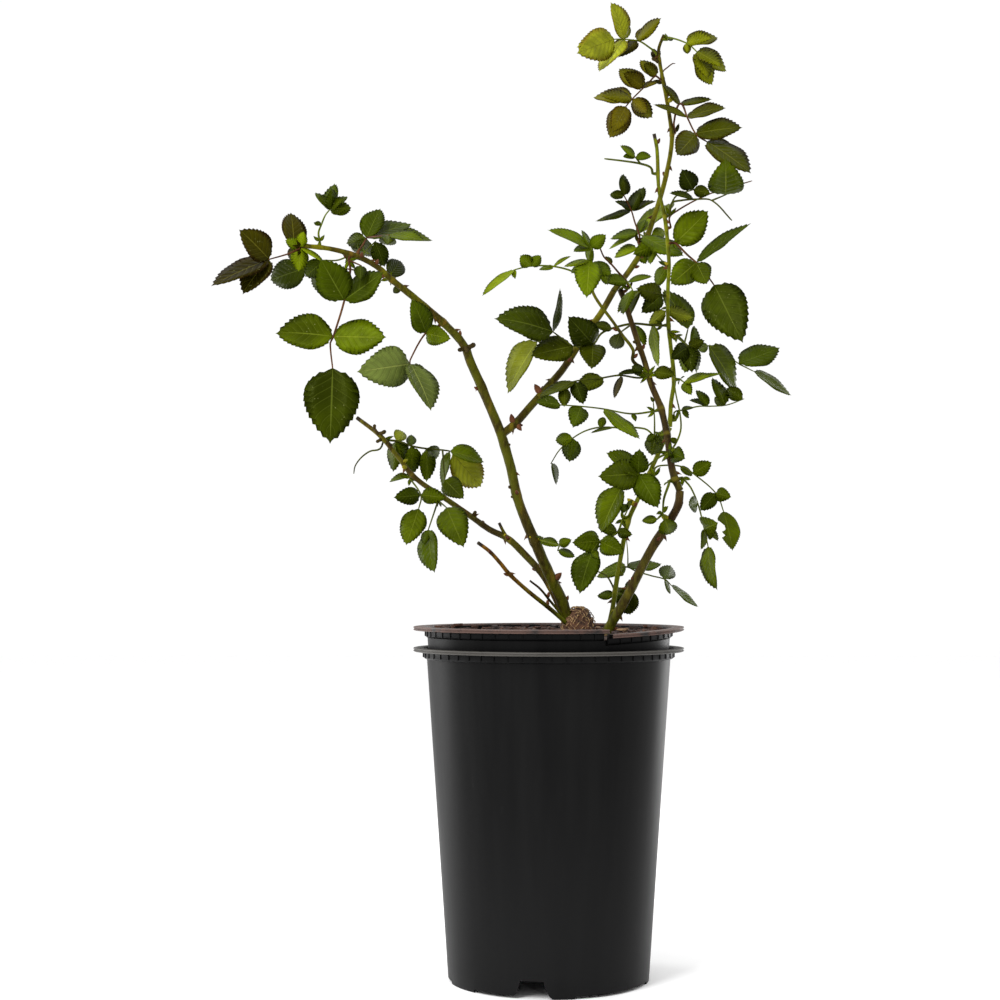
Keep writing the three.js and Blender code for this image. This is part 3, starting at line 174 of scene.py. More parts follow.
CANES = {
    "left_cane": dict(
        route=[(16, 285, 0), (10.6, 302, -3), (1, 322, -8), (-7.8, 342, -13), (-15, 358, -16),
            (-24.2, 382, -20), (-30.2, 408, -23), (-38.2, 435, -26), (-52.4, 470, -31),
            (-62.6, 493, -34), (-65.6, 502, -35)],
        widths=(9, 6.8), prickles=4, bark="green",
    ),
    "left_cane_upper": dict(
        route=[(-65.4, 502.6, -35), (-72.4, 512, -40), (-86.8, 526.4, -50), (-109.2, 545.6, -62),
            (-124.4, 557.6, -68), (-137.2, 568.8, -73), (-153.2, 577.2, -78), (-174.8, 583.2, -85),
            (-196.4, 585.6, -90)],
        widths=(6.4, 3.2), prickles=6, bark="green",
    ),
    "low_left_cane": dict(
        route=[(16, 286, 4), (10.8, 294.4, 6), (-2.8, 320, 10), (-18.8, 338.4, 16), (-32.4, 351.2, 21),
            (-46.8, 358.4, 28), (-62.8, 369.6, 36), (-81.2, 382.4, 45), (-106.8, 400, 55),
            (-121.2, 417.6, 63), (-134.8, 433.6, 69), (-153.2, 448, 76)],
        widths=(6.4, 3.4), prickles=4, bark="brown",
    ),
    "low_left_stub": dict(
        route=[(-32.4, 351.2, 21), (-36.4, 357.6, 22), (-39.6, 364, 22)],
        widths=(2.8, 2.4), prickles=0, bark="brown",
    ),
    "cut_thin_cane": dict(
        route=[(14, 284, -6), (1.2, 295.2, -14), (-14.8, 308, -25), (-30.8, 322.4, -37),
            (-38.8, 332, -44), (-46.8, 340.8, -49), (-56.4, 348, -55)],
        widths=(3.6, 2.8), prickles=1, bark="green",
    ),
    "dead_twig": dict(
        route=[(14, 286, -2), (1.2, 301.6, -12), (-6.8, 311.2, -19), (-14.8, 317.6, -24)],
        widths=(2.2, 1.6), prickles=0, bark="brown",
    ),
    "middle_cane_lower": dict(
        route=[(-37.2, 434.6, -26), (-25.2, 444.8, -20), (-12.4, 459.2, -11), (9.2, 484, 3),
            (15.6, 492.8, 10), (29.2, 514.4, 21), (41.2, 530.4, 30), (51.6, 548.4, 36)],
        widths=(6.4, 5.2), prickles=4, bark="brown",
    ),
    "middle_cane_upper": dict(
        route=[(51.8, 549, 36), (69.2, 572, 42), (77.2, 588, 46), (87.6, 618.4, 52), (94.8, 644.8, 54),
            (98.8, 670.4, 50), (97.2, 686.4, 44), (92.4, 714.4, 32), (88.4, 736, 22), (88.4, 744, 19),
            (92.4, 754.4, 14)],
        widths=(5, 2.4), prickles=6, bark="green",
    ),
    "right_cane_lower": dict(
        route=[(41, 267, -40), (48.4, 280, -42), (58.8, 297.6, -45), (70, 319.2, -49), (82, 342.4, -53),
            (94.8, 362.4, -54), (103.6, 377.6, -52), (105.2, 389.2, -50)],
        widths=(8.2, 6.2), prickles=3, bark="brown",
    ),
    "right_cane_upper": dict(
        route=[(105.2, 389.9, -50), (100.4, 401.6, -48), (97.2, 416.8, -45), (94.8, 435.2, -41),
            (90, 455.2, -39), (82, 475.2, -37), (76.4, 494.4, -35), (70.8, 510.4, -34),
            (60.4, 542.4, -31), (57.2, 550.4, -30)],
        widths=(5.8, 4), prickles=4, bark="brown",
    ),
    "straight_cane_lower": dict(
        route=[(45, 267, 11), (48.4, 282.4, 12), (51.6, 297.6, 14), (56.4, 328.8, 19),
            (63.6, 364.8, 25), (71.6, 383.2, 27), (82, 406.4, 29), (97.2, 440, 31)],
        widths=(4, 3.6), prickles=4, bark="green",
    ),
    "straight_cane_upper": dict(
        route=[(97.3, 440.6, 31), (98, 459.2, 30), (100.4, 478.4, 28), (97.2, 509.6, 22),
            (95.6, 526.4, 18), (95.6, 550.4, 12), (96.4, 572, 7), (93.2, 606.4, 0), (88.4, 630.4, -6),
            (86.8, 662.4, -13), (84.4, 675.2, -16)],
        widths=(3.6, 2.8), prickles=6, bark="green",
    ),
    "forward_twig": dict(
        route=[(74.5, 488, -35), (67.6, 493.6, -42), (67.6, 502.4, -47), (58.8, 514.4, -54),
            (51.6, 524.8, -60), (37.2, 544.8, -68), (31.6, 560, -74)],
        widths=(2.8, 2.2), prickles=0, bark="green",
    ),
}

# Sprays stand on a cane, and their stalks go on in steps of (across, up) and so far back in all
# A leaflet: its joint, how far it goes across and up, its width, and perhaps its own tone and "bitten"
SPRAYS = {
    "left_tip_leaves": dict(
        on="left_cane_upper", at=(-196, 585.6), tone="young",
        stalks=[
            dict(steps=[(-12, -6), (-17, -5)], back=-30, twin=45,
                leaflets=[(2, -23, 24, 21), (2, -47, -20, 14), (2, -22, -26, 19)]),
            dict(steps=[(-9, -1)], back=8, leaflets=[(1, -2, 29, 19), (1, -3, -12, 6)]),
            dict(steps=[(-4, -1)], back=-2, leaflets=[(1, -12, 6, 9, "fresh"), (1, 3, 13, 9, "fresh"),
                (1, -1, -20, 14, "fresh"), (1, 20, -12, 4, "fresh")]),
        ],
    ),
    "left_hanging_leaf": dict(
        on="left_cane_upper", at=(-158.8, 579), tone="green",
        stalks=[
            dict(steps=[(0, -13), (-5, -25), (-9, -29), (-2, -4), (2, -21)], back=-22, twin=60, thick=2,
                leaflets=[(2, 32, 22, 20), (2, -19, 33, 28), (3, -46, 5, 27), (3, 43, -1, 27),
                    (5, -2, -59, 42, "deep")]),
            dict(steps=[(9, -9)], back=-8, leaflets=[(1, 0, -12, 10)]),
        ],
    ),
    "left_top_shoot": dict(
        on="left_cane_upper", at=(-182.8, 585), tone="fresh",
        stalks=[
            dict(steps=[(-0.5, 12), (2.5, 7), (3, 7), (4, 5)], back=24, twin=-30,
                leaflets=[(4, -11, 15, 8), (4, 3, 22, 12), (4, 18, 2, 12), (4, 14, 12, 8),
                    (2, -6, 2, 4)]),
        ],
    ),
    "left_upper_leaves": dict(
        on="left_cane_upper", at=(-153, 577), tone="green",
        stalks=[
            dict(steps=[(4, 8), (4, 7)], back=18, thick=2,
                leaflets=[(2, 11, 25, 18), (2, 36, 13, 14), (2, -16, -4, 13), (2, -5, -15, 19)],
                stalks=[dict(joint=2, steps=[(18, 2)], back=14, twin=-34, leaflets=[(1, 36, -3, 10),
                    (1, -1, -9, 14)])]),
        ],
    ),
    "left_long_leaf": dict(
        on="left_cane_upper", at=(-124.8, 558), spur=(0, 0, 1), tone="dark",
        stalks=[
            dict(steps=[(-12, 5), (-18, 3), (-16, 2), (-24, 0)], back=52,
                leaflets=[(4, -31, -11, 24), (3, -20, -31, 28), (2, -12, -20, 15)]),
            dict(steps=[(-3, 3)], back=9, leaflets=[(1, 10, 14, 16)]),
            dict(steps=[(7, -5)], back=30, leaflets=[(1, -6, -6, 6)]),
        ],
    ),
    "knuckle_leaf": dict(
        on="left_cane_upper", at=(-84.4, 524), tone="green",
        stalks=[
            dict(steps=[(-14, -9), (-12, -21), (0, -4)], back=-42, twin=55,
                # two of these leaflets take the painted sheen, which stands in for their highlights
                leaflets=[(1, -10, 27, 18), (1, 18, -4, 16), (3, -40, -6, 31, "silver"),
                    (3, 18, -36, 19, "silver")]),
        ],
    ),
    "low_left_shoot": dict(
        on="low_left_cane", at=(-132.4, 431), spur=(0, 0, 1), tone="dark",
        stalks=[
            dict(steps=[(12, -2), (12, -4), (12, -2), (12, -1), (7, -1)], back=26, thick=2.2,
                leaflets=[(1, 6, 9, 12, "pale"), (2, 0, 9, 9), (1, 10, -17, 11), (1, -2, -25, 13),
                    (3, 11, -7, 14), (5, -8, -30, 8), (5, 28, -8, 14), (3, 1, -27, 14), (2, 1, -24, 15)],
                stalks=[
                    dict(joint=5, steps=[(1, -2)], back=10, leaflets=[(1, 24, -28, 28, "pale")]),
                    dict(joint=4, steps=[(2, -25)], back=-20, leaflets=[(1, 14, -14, 18)]),
                ]),
            dict(steps=[(-2, -8), (-8, -2), (-7, -5), (-5, -7), (-1, -6)], back=16),
        ],
    ),
    "low_left_leaf": dict(
        on="low_left_cane", at=(-110, 402), tone="green",
        stalks=[
            dict(steps=[(7, -17), (-2, -11)], back=-36, twin=44,
                leaflets=[(1, -21, -2, 15), (1, 20, -2, 14), (2, -10, -30, 21)]),
            dict(steps=[(-4, -1)], back=4, leaflets=[(1, -16, -3, 6)]),
        ],
    ),
    "low_left_long_leaf": dict(
        on="low_left_cane", at=(-86.8, 386), tone="green",
        stalks=[
            dict(steps=[(5, -10)], back=-22, twin=50, leaflets=[(1, 13, -30, 26)]),
            dict(steps=[(-10, -28)], back=-40, leaflets=[(1, -4, -12, 8), (1, 3, -34, 17)]),
        ],
    ),
    "forward_twig_leaves": dict(
        on="forward_twig", at=(31.6, 560), tone="fresh",
        stalks=[
            dict(steps=[(0, 10), (1, 6), (1, 10)], back=-22, thick=2,
                leaflets=[(2, -2, -28, 21), (3, -8, 14, 5), (2, 3, 15, 4), (3, -34, 15, 8),
                    (3, -14, -3, 6), (2, -21, -6, 5), (3, 12, 10, 11)],
                stalks=[dict(joint=1, steps=[(10, 4)], back=10, leaflets=[(1, 7, -19, 10)])]),
        ],
    ),
    "forward_twig_long_leaf": dict(
        on="forward_twig", at=(32.4, 556), tone="fresh",
        stalks=[
            dict(steps=[(-12, 8), (-18, 5), (-18, 0), (-13, -3)], back=-30, twin=62,
                leaflets=[(4, -27, -20, 6), (4, 0, -7, 4), (3, -9, 9, 11), (3, 8, 9, 9), (2, 14, 9, 3),
                    (2, -12, -3, 4)]),
        ],
    ),
    "arch_shoot": dict(
        on="straight_cane_upper", at=(95.6, 522), tone="dark",
        stalks=[
            dict(steps=[(-14, 0), (-15, 1), (-17, -4), (-8, -4), (-7, -9),
                (-16, -1)], back=-52, thick=2.4,
                leaflets=[(5, -18, 20, 24), (6, -34, -7, 21), (5, -1, -18, 21), (3, -15, 3, 8),
                    (1, 6, -34, 9, "fresh"), (2, 10, -18, 7, "fresh")],
                stalks=[
                    dict(joint=6, steps=[(-16, 12)], back=-10, leaflets=[(1, -45, 14, 25),
                        (1, 7, 35, 6)]),
                    dict(joint=6, steps=[(-29, 4)], back=16, leaflets=[(1, -26, -41, 19, "pale")]),
                    dict(joint=2, steps=[(-11, -8)], back=12, leaflets=[(1, -4, -14, 13)]),
                ]),
        ],
    ),
    "right_reaching_leaves": dict(
        on="straight_cane_upper", at=(95.6, 514), tone="green",
        stalks=[
            dict(steps=[(12, -6), (6, -4), (14, 2)], back=34, thick=2.2,
                leaflets=[(2, -15, -7, 10), (2, -6, -21, 14), (2, 4, 18, 9), (2, 6, -21, 8),
                    (3, 25, -37, 19), (3, -9, -3, 9)],
                stalks=[
                    dict(joint=1, steps=[(3, 12)], back=6, leaflets=[(1, -18, 34, 19)]),
                    dict(joint=3, steps=[(12, -7), (12, -8)], back=24, leaflets=[(2, 33, 12, 20)],
                        stalks=[dict(joint=2, steps=[(12, -6)], back=12, leaflets=[(1, 31, -19, 9)])]),
                ]),
        ],
    ),
    "inner_left_spray": dict(
        on="right_cane_upper", at=(79, 482), spur=(0, 0, -1), tone="dark",
        stalks=[
            dict(steps=[(-7, -2), (-16, 2), (-14, -2), (-23, -3), (-8, -5)], back=-40, thick=1.8,
                leaflets=[(3, -22, -10, 14), (4, -29, -12, 8), (5, 0, -11, 10), (4, 7, -18, 13),
                    (2, -5, -19, 6, "dry")]),
            dict(steps=[(-6, 3)], back=-6, leaflets=[(1, -20, -1, 4), (1, -9, 5, 9)]),
            dict(steps=[(5, 3)], back=-8, leaflets=[(1, 17, -2, 11)]),
        ],
    ),
    "second_left_spray": dict(
        on="right_cane_upper", at=(90, 455), tone="green",
        stalks=[
            dict(steps=[(-24, -4), (-23, 4), (-18, 2), (-16, 1)], back=-55,
                leaflets=[(2, 29, -25, 10), (3, -6, -16, 16), (4, -20, 3, 10), (1, 3, -6, 4)]),
        ],
    ),
    "hub_leaves": dict(
        on="right_cane_upper", at=(94.8, 435), tone="green",
        stalks=[
            dict(steps=[(-6, 1), (-4, -3)], back=6, thick=2,
                leaflets=[(2, -3, -16, 15), (2, 7, -7, 8), (2, -8, -4, 6)],
                stalks=[
                    dict(joint=2, steps=[(0, 14), (-1, 14)], back=10, leaflets=[(2, -2, 5, 3)]),
                    dict(joint=2, steps=[(-8, 6), (-25, 1), (-12, 0), (-11, -3), (-10, -6), (-10, -9),
                        (-7, -11)], back=62,
                        leaflets=[(2, -20, -4, 3), (3, 4, 9, 7), (5, -15, -2, 11), (5, -3, -19, 16),
                            (7, 5, -18, 6)]),
                ]),
        ],
    ),
    "lower_middle_leaf": dict(
        on="right_cane_upper", at=(98.4, 419), spur=(0, 0, -1), tone="green",
        stalks=[
            dict(steps=[(-8, -2), (-18, -14), (-13, -10)], back=-34, thick=2,
                leaflets=[(2, -30, -2, 24), (2, 16, -26, 21), (3, -16, -34, 20), (2, -24, 18, 14),
                    (2, 1, 19, 16)]),
            dict(steps=[(3, 1)], back=-10, leaflets=[(1, 9, -4, 14), (1, -3, -2, 8)]),
            dict(steps=[(6, 11), (3, 10), (-1, 13), (-3, 14), (-2, 15)], back=-14,
                leaflets=[(1, -5, 3, 5)]),
        ],
    ),
    "crossing_leaf": dict(
        on="straight_cane_lower", at=(80.4, 403), tone="green",
        stalks=[
            dict(steps=[(5, 5), (7, 2), (14, -1), (10, -6), (18, -16), (6, -15)], back=-24, twin=60,
                leaflets=[(3, 10, -8, 6), (4, 15, 9, 13), (5, -12, -14, 13), (5, 12, -3, 12),
                    (6, 8, -31, 17, "green", "bitten")]),
        ],
    ),
    "right_hanging_leaf": dict(
        on="right_cane_upper", at=(102, 398), tone="green",
        stalks=[
            dict(steps=[(7, 0), (5, -6), (6, -14), (5, -20), (3, -14)], back=-34, twin=30,
                leaflets=[(3, -8, -1, 13), (4, 9, 4, 19), (4, -2, -17, 5), (5, 4, -35, 12),
                    (4, 12, -9, 6)]),
        ],
    ),
    "elbow_shoot": dict(
        on="right_cane_upper", at=(101.4, 399), tone="green",
        stalks=[
            dict(steps=[(-5, -4), (-4, -12), (-1, -12)], back=-28, thick=2.6,
                leaflets=[(3, 4, 5, 4), (3, -5, -1, 3)],
                stalks=[
                    dict(joint=3, steps=[(-5, -5)], leaflets=[(1, -13, -2, 7)]),
                    dict(joint=3, steps=[(2, -5)], leaflets=[(1, 5, -14, 15)]),
                ]),
        ],
    ),
    "low_leaf": dict(
        on="straight_cane_lower", at=(63.6, 365), tone="green",
        stalks=[
            dict(steps=[(-9, -9), (-14, -7), (-6, -8)], back=-40, thick=2, twin=44,
                leaflets=[(1, 12, -2, 9), (1, -15, 4, 10), (2, -21, -1, 18), (2, 18, -9, 17),
                    (3, -11, -33, 22), (3, 5, -6, 7)]),
            dict(steps=[(0, 10)], back=-6, leaflets=[(1, -6, 4, 8), (1, 4, 9, 4)]),
        ],
    ),
    "node_leaf": dict(
        on="left_cane", at=(-10, 349.6), tone="green",
        stalks=[
            dict(steps=[(4, 1), (16, -4)], back=-26,
                leaflets=[(1, 15, -5, 8), (2, 10, 4, 8)],
                stalks=[dict(joint=2, steps=[(-2, -5)], leaflets=[(1, 14, -6, 7)])]),
        ],
    ),
    "low_right_leaf": dict(
        on="straight_cane_lower", at=(56.4, 323), tone="green",
        stalks=[
            dict(steps=[(2, 5), (6, 1), (6, -3), (13, -4), (11, -3), (5, -5)], back=44,
                leaflets=[(2, -25, -7, 11), (2, 28, 2, 9), (5, 5, 11, 15), (5, 5, -12, 4),
                    (6, 22, -18, 6)],
                stalks=[dict(joint=2, steps=[(0, 10), (-1, 12)], back=8, thick=1.3)]),
        ],
    ),
    "foot_leaves": dict(
        on="straight_cane_lower", at=(52.4, 308), spur=(0, 0, 1), tone="dark",
        stalks=[
            dict(steps=[(8, 4)], back=16, twin=34,
                leaflets=[(1, 5, -23, 19), (1, -6, -11, 15), (1, 10, 3, 9)]),
            dict(steps=[(-1, -3)], back=3, leaflets=[(1, -14, -1, 8)]),
            dict(steps=[(-2, 5), (-5, 8), (-8, 4)], back=9, thick=2),
        ],
    ),
    "top_left_leaf": dict(
        on="middle_cane_upper", at=(88.4, 734), tone="young",
        stalks=[
            dict(steps=[(-3, 6), (-6, 5), (-6, 4), (-4, 1), (-10, 1), (-8, 0)], back=-34, twin=40,
                leaflets=[(4, 20, 18, 10, "tawny"), (4, -15, -14, 10, "bronze"), (5, -9, 30, 14),
                    (5, -20, -27, 13), (6, -29, -11, 26)]),
        ],
    ),
    "upper_left_leaf": dict(
        on="middle_cane_upper", at=(92.4, 714), spur=(0, 0, 1), tone="young",
        stalks=[
            dict(steps=[(-5, 6), (-2, 1), (-4, -4), (-6, -6), (-9, -9), (-5, -6)], back=36, twin=-42,
                leaflets=[(2, -13, 14, 11), (4, 13, 6, 5), (4, -20, 16, 16), (5, -32, 4, 14),
                    (5, 16, -15, 16), (6, -13, -25, 21)]),
            dict(steps=[(-1, 10), (4, 4), (4, 3), (2, 0)], back=10, thick=1.4),
        ],
    ),
    "upper_right_leaf": dict(
        on="middle_cane_upper", at=(98, 674), tone="young",
        stalks=[
            dict(steps=[(2, 10), (5, 15), (6, -12), (7, -13), (9, -6)], back=-44, twin=38, thick=1.9,
                leaflets=[(2, -14, 17, 6), (2, 26, 5, 6), (3, 30, 10, 10), (3, -27, 11, 5),
                    (4, 37, 6, 17), (4, -16, -18, 21), (5, 36, -24, 18)]),
        ],
    ),
    "top_right_leaf": dict(
        on="middle_cane_upper", at=(91.6, 751), tone="green",
        stalks=[
            dict(steps=[(5, 1), (15, -5), (8, -7)], back=26, twin=-38,
                leaflets=[(2, 26, 7, 13), (2, 1, -9, 7), (3, 26, -14, 14), (3, 12, -27, 17)]),
        ],
    ),
    "short_twig_leaves": dict(
        on="straight_cane_upper", at=(87.6, 643), tone="green",
        stalks=[
            dict(steps=[(-6, 5), (-8, 3), (-12, 2), (-17, 2)], back=-26, thick=2.2,
                stalks=[dict(joint=2, steps=[(-5, 6)], back=-4, leaflets=[(1, -12, 10, 6),
                    (1, -10, 1, 5), (1, 13, 1, 7)])]),
        ],
    ),
    "young_leaf": dict(
        on="middle_cane_upper", at=(76, 586), tone="young",
        stalks=[
            dict(steps=[(-3, 7), (-4, 12), (-3, 10), (-6, 12)], back=30, twin=-24,
                leaflets=[(4, 0, 18, 10), (4, -12, 1, 8), (3, -13, 9, 6), (3, -29, -9, 6),
                    (3, 10, 20, 12), (3, 20, 9, 6)]),
        ],
    ),
    "crown_leaves": dict(
        on="middle_cane_upper", at=(79, 592), spur=(0, 0, 1), tone="fresh",
        stalks=[
            dict(steps=[(-7, 3)], back=14, leaflets=[(1, -24, -3, 8), (1, -25, -12, 5), (1, 5, 13, 6),
                (1, 27, 28, 14)]),
            dict(steps=[(5, -2)], back=10, leaflets=[(1, 24, -13, 12), (1, 10, 9, 11),
                (1, -12, -11, 12)]),
            dict(steps=[(-8, -10)], back=14, leaflets=[(1, -20, -6, 9), (1, 6, -12, 9)]),
            dict(steps=[(6, -12), (11, -12)], back=18, twin=50,
                leaflets=[(2, -7, 4, 4), (2, -10, -17, 11), (1, -8, 6, 12)]),
        ],
    ),
    "right_round_leaf": dict(
        on="straight_cane_upper", at=(92.8, 609), tone="dark",
        stalks=[
            dict(steps=[(6, 11), (4, 6), (14, 5)], back=-22, leaflets=[(3, -9, 16, 16), (3, 14, -3, 10)]),
            dict(steps=[(6, 11), (7, 2), (12, 1), (13, -1), (16, -16)], back=-40, thick=2,
                leaflets=[(3, -20, 6, 5)],
                stalks=[
                    dict(joint=4, steps=[(12, 5)], back=-12, twin=40, leaflets=[(1, 0, 27, 28, "green")]),
                ]),
        ],
    ),
    "thin_right_twig": dict(
        on="straight_cane_upper", at=(94.4, 599), tone="young",
        stalks=[
            dict(steps=[(3, 9), (6, 5), (10, 6), (8, 4), (12, 5), (30, 9)], back=40, thick=1.7),
        ],
    ),
    "right_long_leaf": dict(
        on="straight_cane_upper", at=(95.6, 587), tone="green",
        stalks=[
            dict(steps=[(7, 0), (9, -9), (8, -7), (6, -7), (8, -11)], back=-32, twin=48, thick=2,
                leaflets=[(1, 27, 26, 25), (3, 43, 33, 9), (3, -21, -18, 21), (3, 9, -18, 18),
                    (5, 22, -44, 36, "deep")]),
        ],
    ),
    "centre_leaves": dict(
        on="straight_cane_upper", at=(95.6, 546), tone="dark",
        stalks=[
            dict(steps=[(-5, 1), (-18, 4)], back=-16, thick=1.9,
                leaflets=[(1, -20, 5, 16), (1, -16, -14, 15), (2, -10, -22, 6), (2, -19, -18, 7)]),
        ],
    ),
    "right_small_leaves": dict(
        on="straight_cane_upper", at=(98.8, 446), tone="green",
        stalks=[
            dict(steps=[(3, 6), (7, 2), (13, 3), (8, 0), (14, 1), (14, 5)], back=26, thick=1.6,
                leaflets=[(4, -9, 14, 8), (4, -15, 6, 5), (2, 10, 3, 4), (2, 6, -6, 5), (5, -9, 7, 9),
                    (5, -10, 23, 11), (6, -13, 8, 12)]),
        ],
    ),
    "right_narrow_leaves": dict(
        on="straight_cane_upper", at=(99.8, 479), tone="fresh",
        stalks=[
            dict(steps=[(8, -2)], back=-20,
                leaflets=[(1, 22, 6, 7), (1, 31, 8, 4), (1, 6, -10, 9)]),
        ],
    ),
    "tip_twig": dict(
        on="right_cane_upper", at=(58, 548), tone="young",
        stalks=[
            dict(steps=[(5, 8), (-7, 8), (-6, 7), (-6, 6), (-4, 10)], back=-24, thick=1.9,
                leaflets=[(1, -20, 3, 8, "fresh"), (3, -5, 7, 4)]),
        ],
    ),
}

# What else shows on the canes: its kind, where it looks to stand, which way it grows, and its length
CANE_MARKS = {
    "left_cane": [
        ("red", (9, 320), (1, -0.3, 1), 9), ("yellow", (-12, 351), (-0.6, -0.8, 0.4), 5),
        ("yellow", (-10, 351), (0.9, -0.6, 0.3), 5), ("stub", (-28, 391), (-1, -0.3, 0.3), 5),
        ("stub", (-27, 386), (-1, -0.2, -0.3), 4), ("stub", (-35, 425), (1, -0.4, 0.2), 4),
    ],
    "left_cane_upper": [
        ("stub", (-65.4, 503), (1, -0.4, 0.5), 7), ("stub", (-65.4, 503), (-1, -0.5, -0.2), 6),
        ("stub", (-68, 506), (0.6, -0.6, -0.9), 6), ("stub", (-68, 507), (-0.5, -0.4, 1), 6),
        ("yellow", (-80, 519), (-0.4, -0.8, 0.7), 5), ("red", (-150, 576), (0.2, -0.7, 0.6), 5),
        ("red", (-139, 570), (0.5, -0.6, 0.8), 5),
    ],
    "low_left_cane": [
        ("stub", (-133, 437), (-0.7, -0.5, 0.9), 5), ("stub", (-133, 437), (1, -0.5, 0.5), 6),
        ("stub", (-130, 433), (-0.9, -0.3, -0.5), 5), ("stub", (-128, 430), (0.8, -0.4, -0.5), 5),
        ("stub", (-137, 440), (0.1, -0.6, 1), 5), ("yellow", (-116, 406), (-0.5, -0.8, 0.1), 6),
        ("yellow", (-118, 411), (0.8, -0.5, 0.4), 5), ("stub", (-61, 369), (0.6, -0.4, 0.9), 5),
        ("yellow", (-35, 354), (0.2, -0.9, 0.5), 4),
    ],
    "middle_cane_lower": [
        ("red", (-6.8, 468), (-0.6, -0.4, 0.9), 9), ("red", (-29, 443), (-0.2, -0.3, 1), 8),
        ("red", (-26, 443), (0.7, -0.3, -0.9), 7), ("yellow", (19.6, 500), (-0.5, -0.8, 0.3), 5),
    ],
    "middle_cane_upper": [
        ("yellow", (56, 554), (-0.6, -0.7, 0.4), 5), ("yellow", (94, 700), (0.8, -0.5, 0.5), 7),
        ("stub", (90, 738), (-1, -0.3, 0.7), 6), ("stub", (90, 733), (-0.9, -0.2, 0.4), 6),
    ],
    "right_cane_lower": [
        ("yellow", (96, 366), (-1, -0.5, 0.8), 8), ("red", (70, 318), (-0.7, -0.6, 0.4), 4),
    ],
    "right_cane_upper": [
        ("yellow", (78, 482), (-0.8, -0.7, 0.1), 7), ("yellow", (80, 480), (0.3, -0.9, 0.4), 5),
        ("stub", (72, 507), (-0.9, -0.5, 0.3), 4), ("yellow", (97, 420), (0.9, -0.5, 0.5), 5),
    ],
    "straight_cane_lower": [
        ("yellow", (51, 293), (0.3, -0.9, 0.2), 4), ("yellow", (68, 378), (-0.9, -0.4, 0.8), 8),
        ("yellow", (72, 385), (0.8, -0.5, 0.8), 5),
    ],
    "straight_cane_upper": [
        ("yellow", (95, 570), (-0.8, -0.6, 0.5), 4), ("yellow", (95, 512), (0.9, -0.6, 0.3), 5),
    ],
}

# Small leaves in the thick of the crown, with no solids of their own, grown after the others
INNER_SPRAYS = {
    "bright_crown_pair": dict(
        on="middle_cane_upper", at=(77, 590), spur=(0, 0, -1), tone="fresh",
        stalks=[
            dict(steps=[(-3, 4)], back=-16, leaflets=[(1, 33, -17, 15)]),
            dict(steps=[(8, -4)], back=-14, leaflets=[(1, -17, -7, 13), (1, -4, -15, 9)]),
            dict(steps=[(3, 5)], back=10, leaflets=[(1, 25, 24, 18, "pale"), (1, 9, -14, 14, "green")]),
        ],
    ),
    "cane_end_leaves": dict(
        on="right_cane_upper", at=(57.2, 550), tone="fresh",
        stalks=[
            dict(steps=[(6, 7)], back=-16, leaflets=[(1, -19, 1, 9), (1, 20, 5, 5)]),
            dict(steps=[(6, 6), (4, -6)], back=-22, leaflets=[(2, -8, -20, 9)]),
        ],
    ),
    "forward_twig_tip": dict(
        on="forward_twig", at=(31.6, 560), spur=(0, 0, -1), tone="fresh",
        stalks=[dict(steps=[(1, 13)], back=-6, leaflets=[(1, 1, 18, 7), (1, 18, -9, 12),
            (1, -15, -8, 8)])],
    ),
    "left_crown_fill": dict(
        on="left_cane_upper", at=(-150, 576), tone="green",
        stalks=[dict(steps=[(6, 8), (6, 6)], back=20, leaflets=[(2, -21, 6, 13), (2, -14, -18, 18),
            (2, 6, -16, 14)])],
    ),
    "left_lower_fill": dict(
        on="left_cane_upper", at=(-156, 578), spur=(0, 0, 1), tone="green",
        stalks=[
            dict(steps=[(-6, -10)], back=26, leaflets=[(1, -8, -22, 17)]),
            dict(steps=[(-12, -4), (-12, 0)], back=22, leaflets=[(2, -16, -14, 15), (2, 6, -20, 15)]),
        ],
    ),
    "right_inner_dark": dict(
        on="straight_cane_upper", at=(95.6, 518), spur=(0, 0, -1), tone="dark",
        stalks=[dict(steps=[(9, -6), (7, -8)], back=-12, leaflets=[(2, -13, -9, 14), (2, 3, -20, 15),
            (2, 13, 5, 10)])],
    ),
    "pale_behind": dict(
        on="straight_cane_upper", at=(95.6, 536), spur=(0, 0, 1), tone="fresh",
        stalks=[dict(steps=[(-2, -3)], back=12, leaflets=[(1, -14, -12, 11, "pale"),
            (1, 22, -6, 12, "pale")])],
    ),
}

# Where things are


def seen(place):
    """The point that looks to be at this place from the front, and lies this far back."""
    across, up, back = place
    flat = Vector((across, 0, up)) * MM
    return EYE + (flat - EYE) * (1 + back / VIEW_DISTANCE)


class SeededRandom:
    """The source's random numbers, so that each prickle and leaflet comes where its solid is."""

    def __init__(self, seed):
        self.state = seed

    def __call__(self):
        word = 0xFFFFFFFF
        self.state = (self.state + 0x6D2B79F5) & word
        mixed = ((self.state ^ (self.state >> 15)) * (1 | self.state)) & word
        mixed = ((mixed + (mixed ^ (mixed >> 7)) * (61 | mixed)) & word) ^ mixed
        return (mixed ^ (mixed >> 14)) / 4294967296


def lerp(low, high, share):
    return low + (high - low) * share


def smooth_route(places, step):
    """Points close together on a smooth line through the places, each with its share of the whole line."""
    points = [(0.0, places[0])]
    spans = len(places) - 1
    for i in range(spans):
        start, end = places[i], places[i + 1]
        before = places[i - 1] if i else start
        after = places[i + 2] if i + 2 <= spans else end
        reach = (end - start).length / 3
        leave = start + (end - before).normalized() * reach
        arrive = end - (after - start).normalized() * reach
        count = max(2, math.ceil((end - start).length / step) + 1)
        line = interpolate_bezier(start, leave, arrive, end, count)
        for j in range(1, count):
            points.append(((i + j / (count - 1)) / spans, line[j]))
    return points


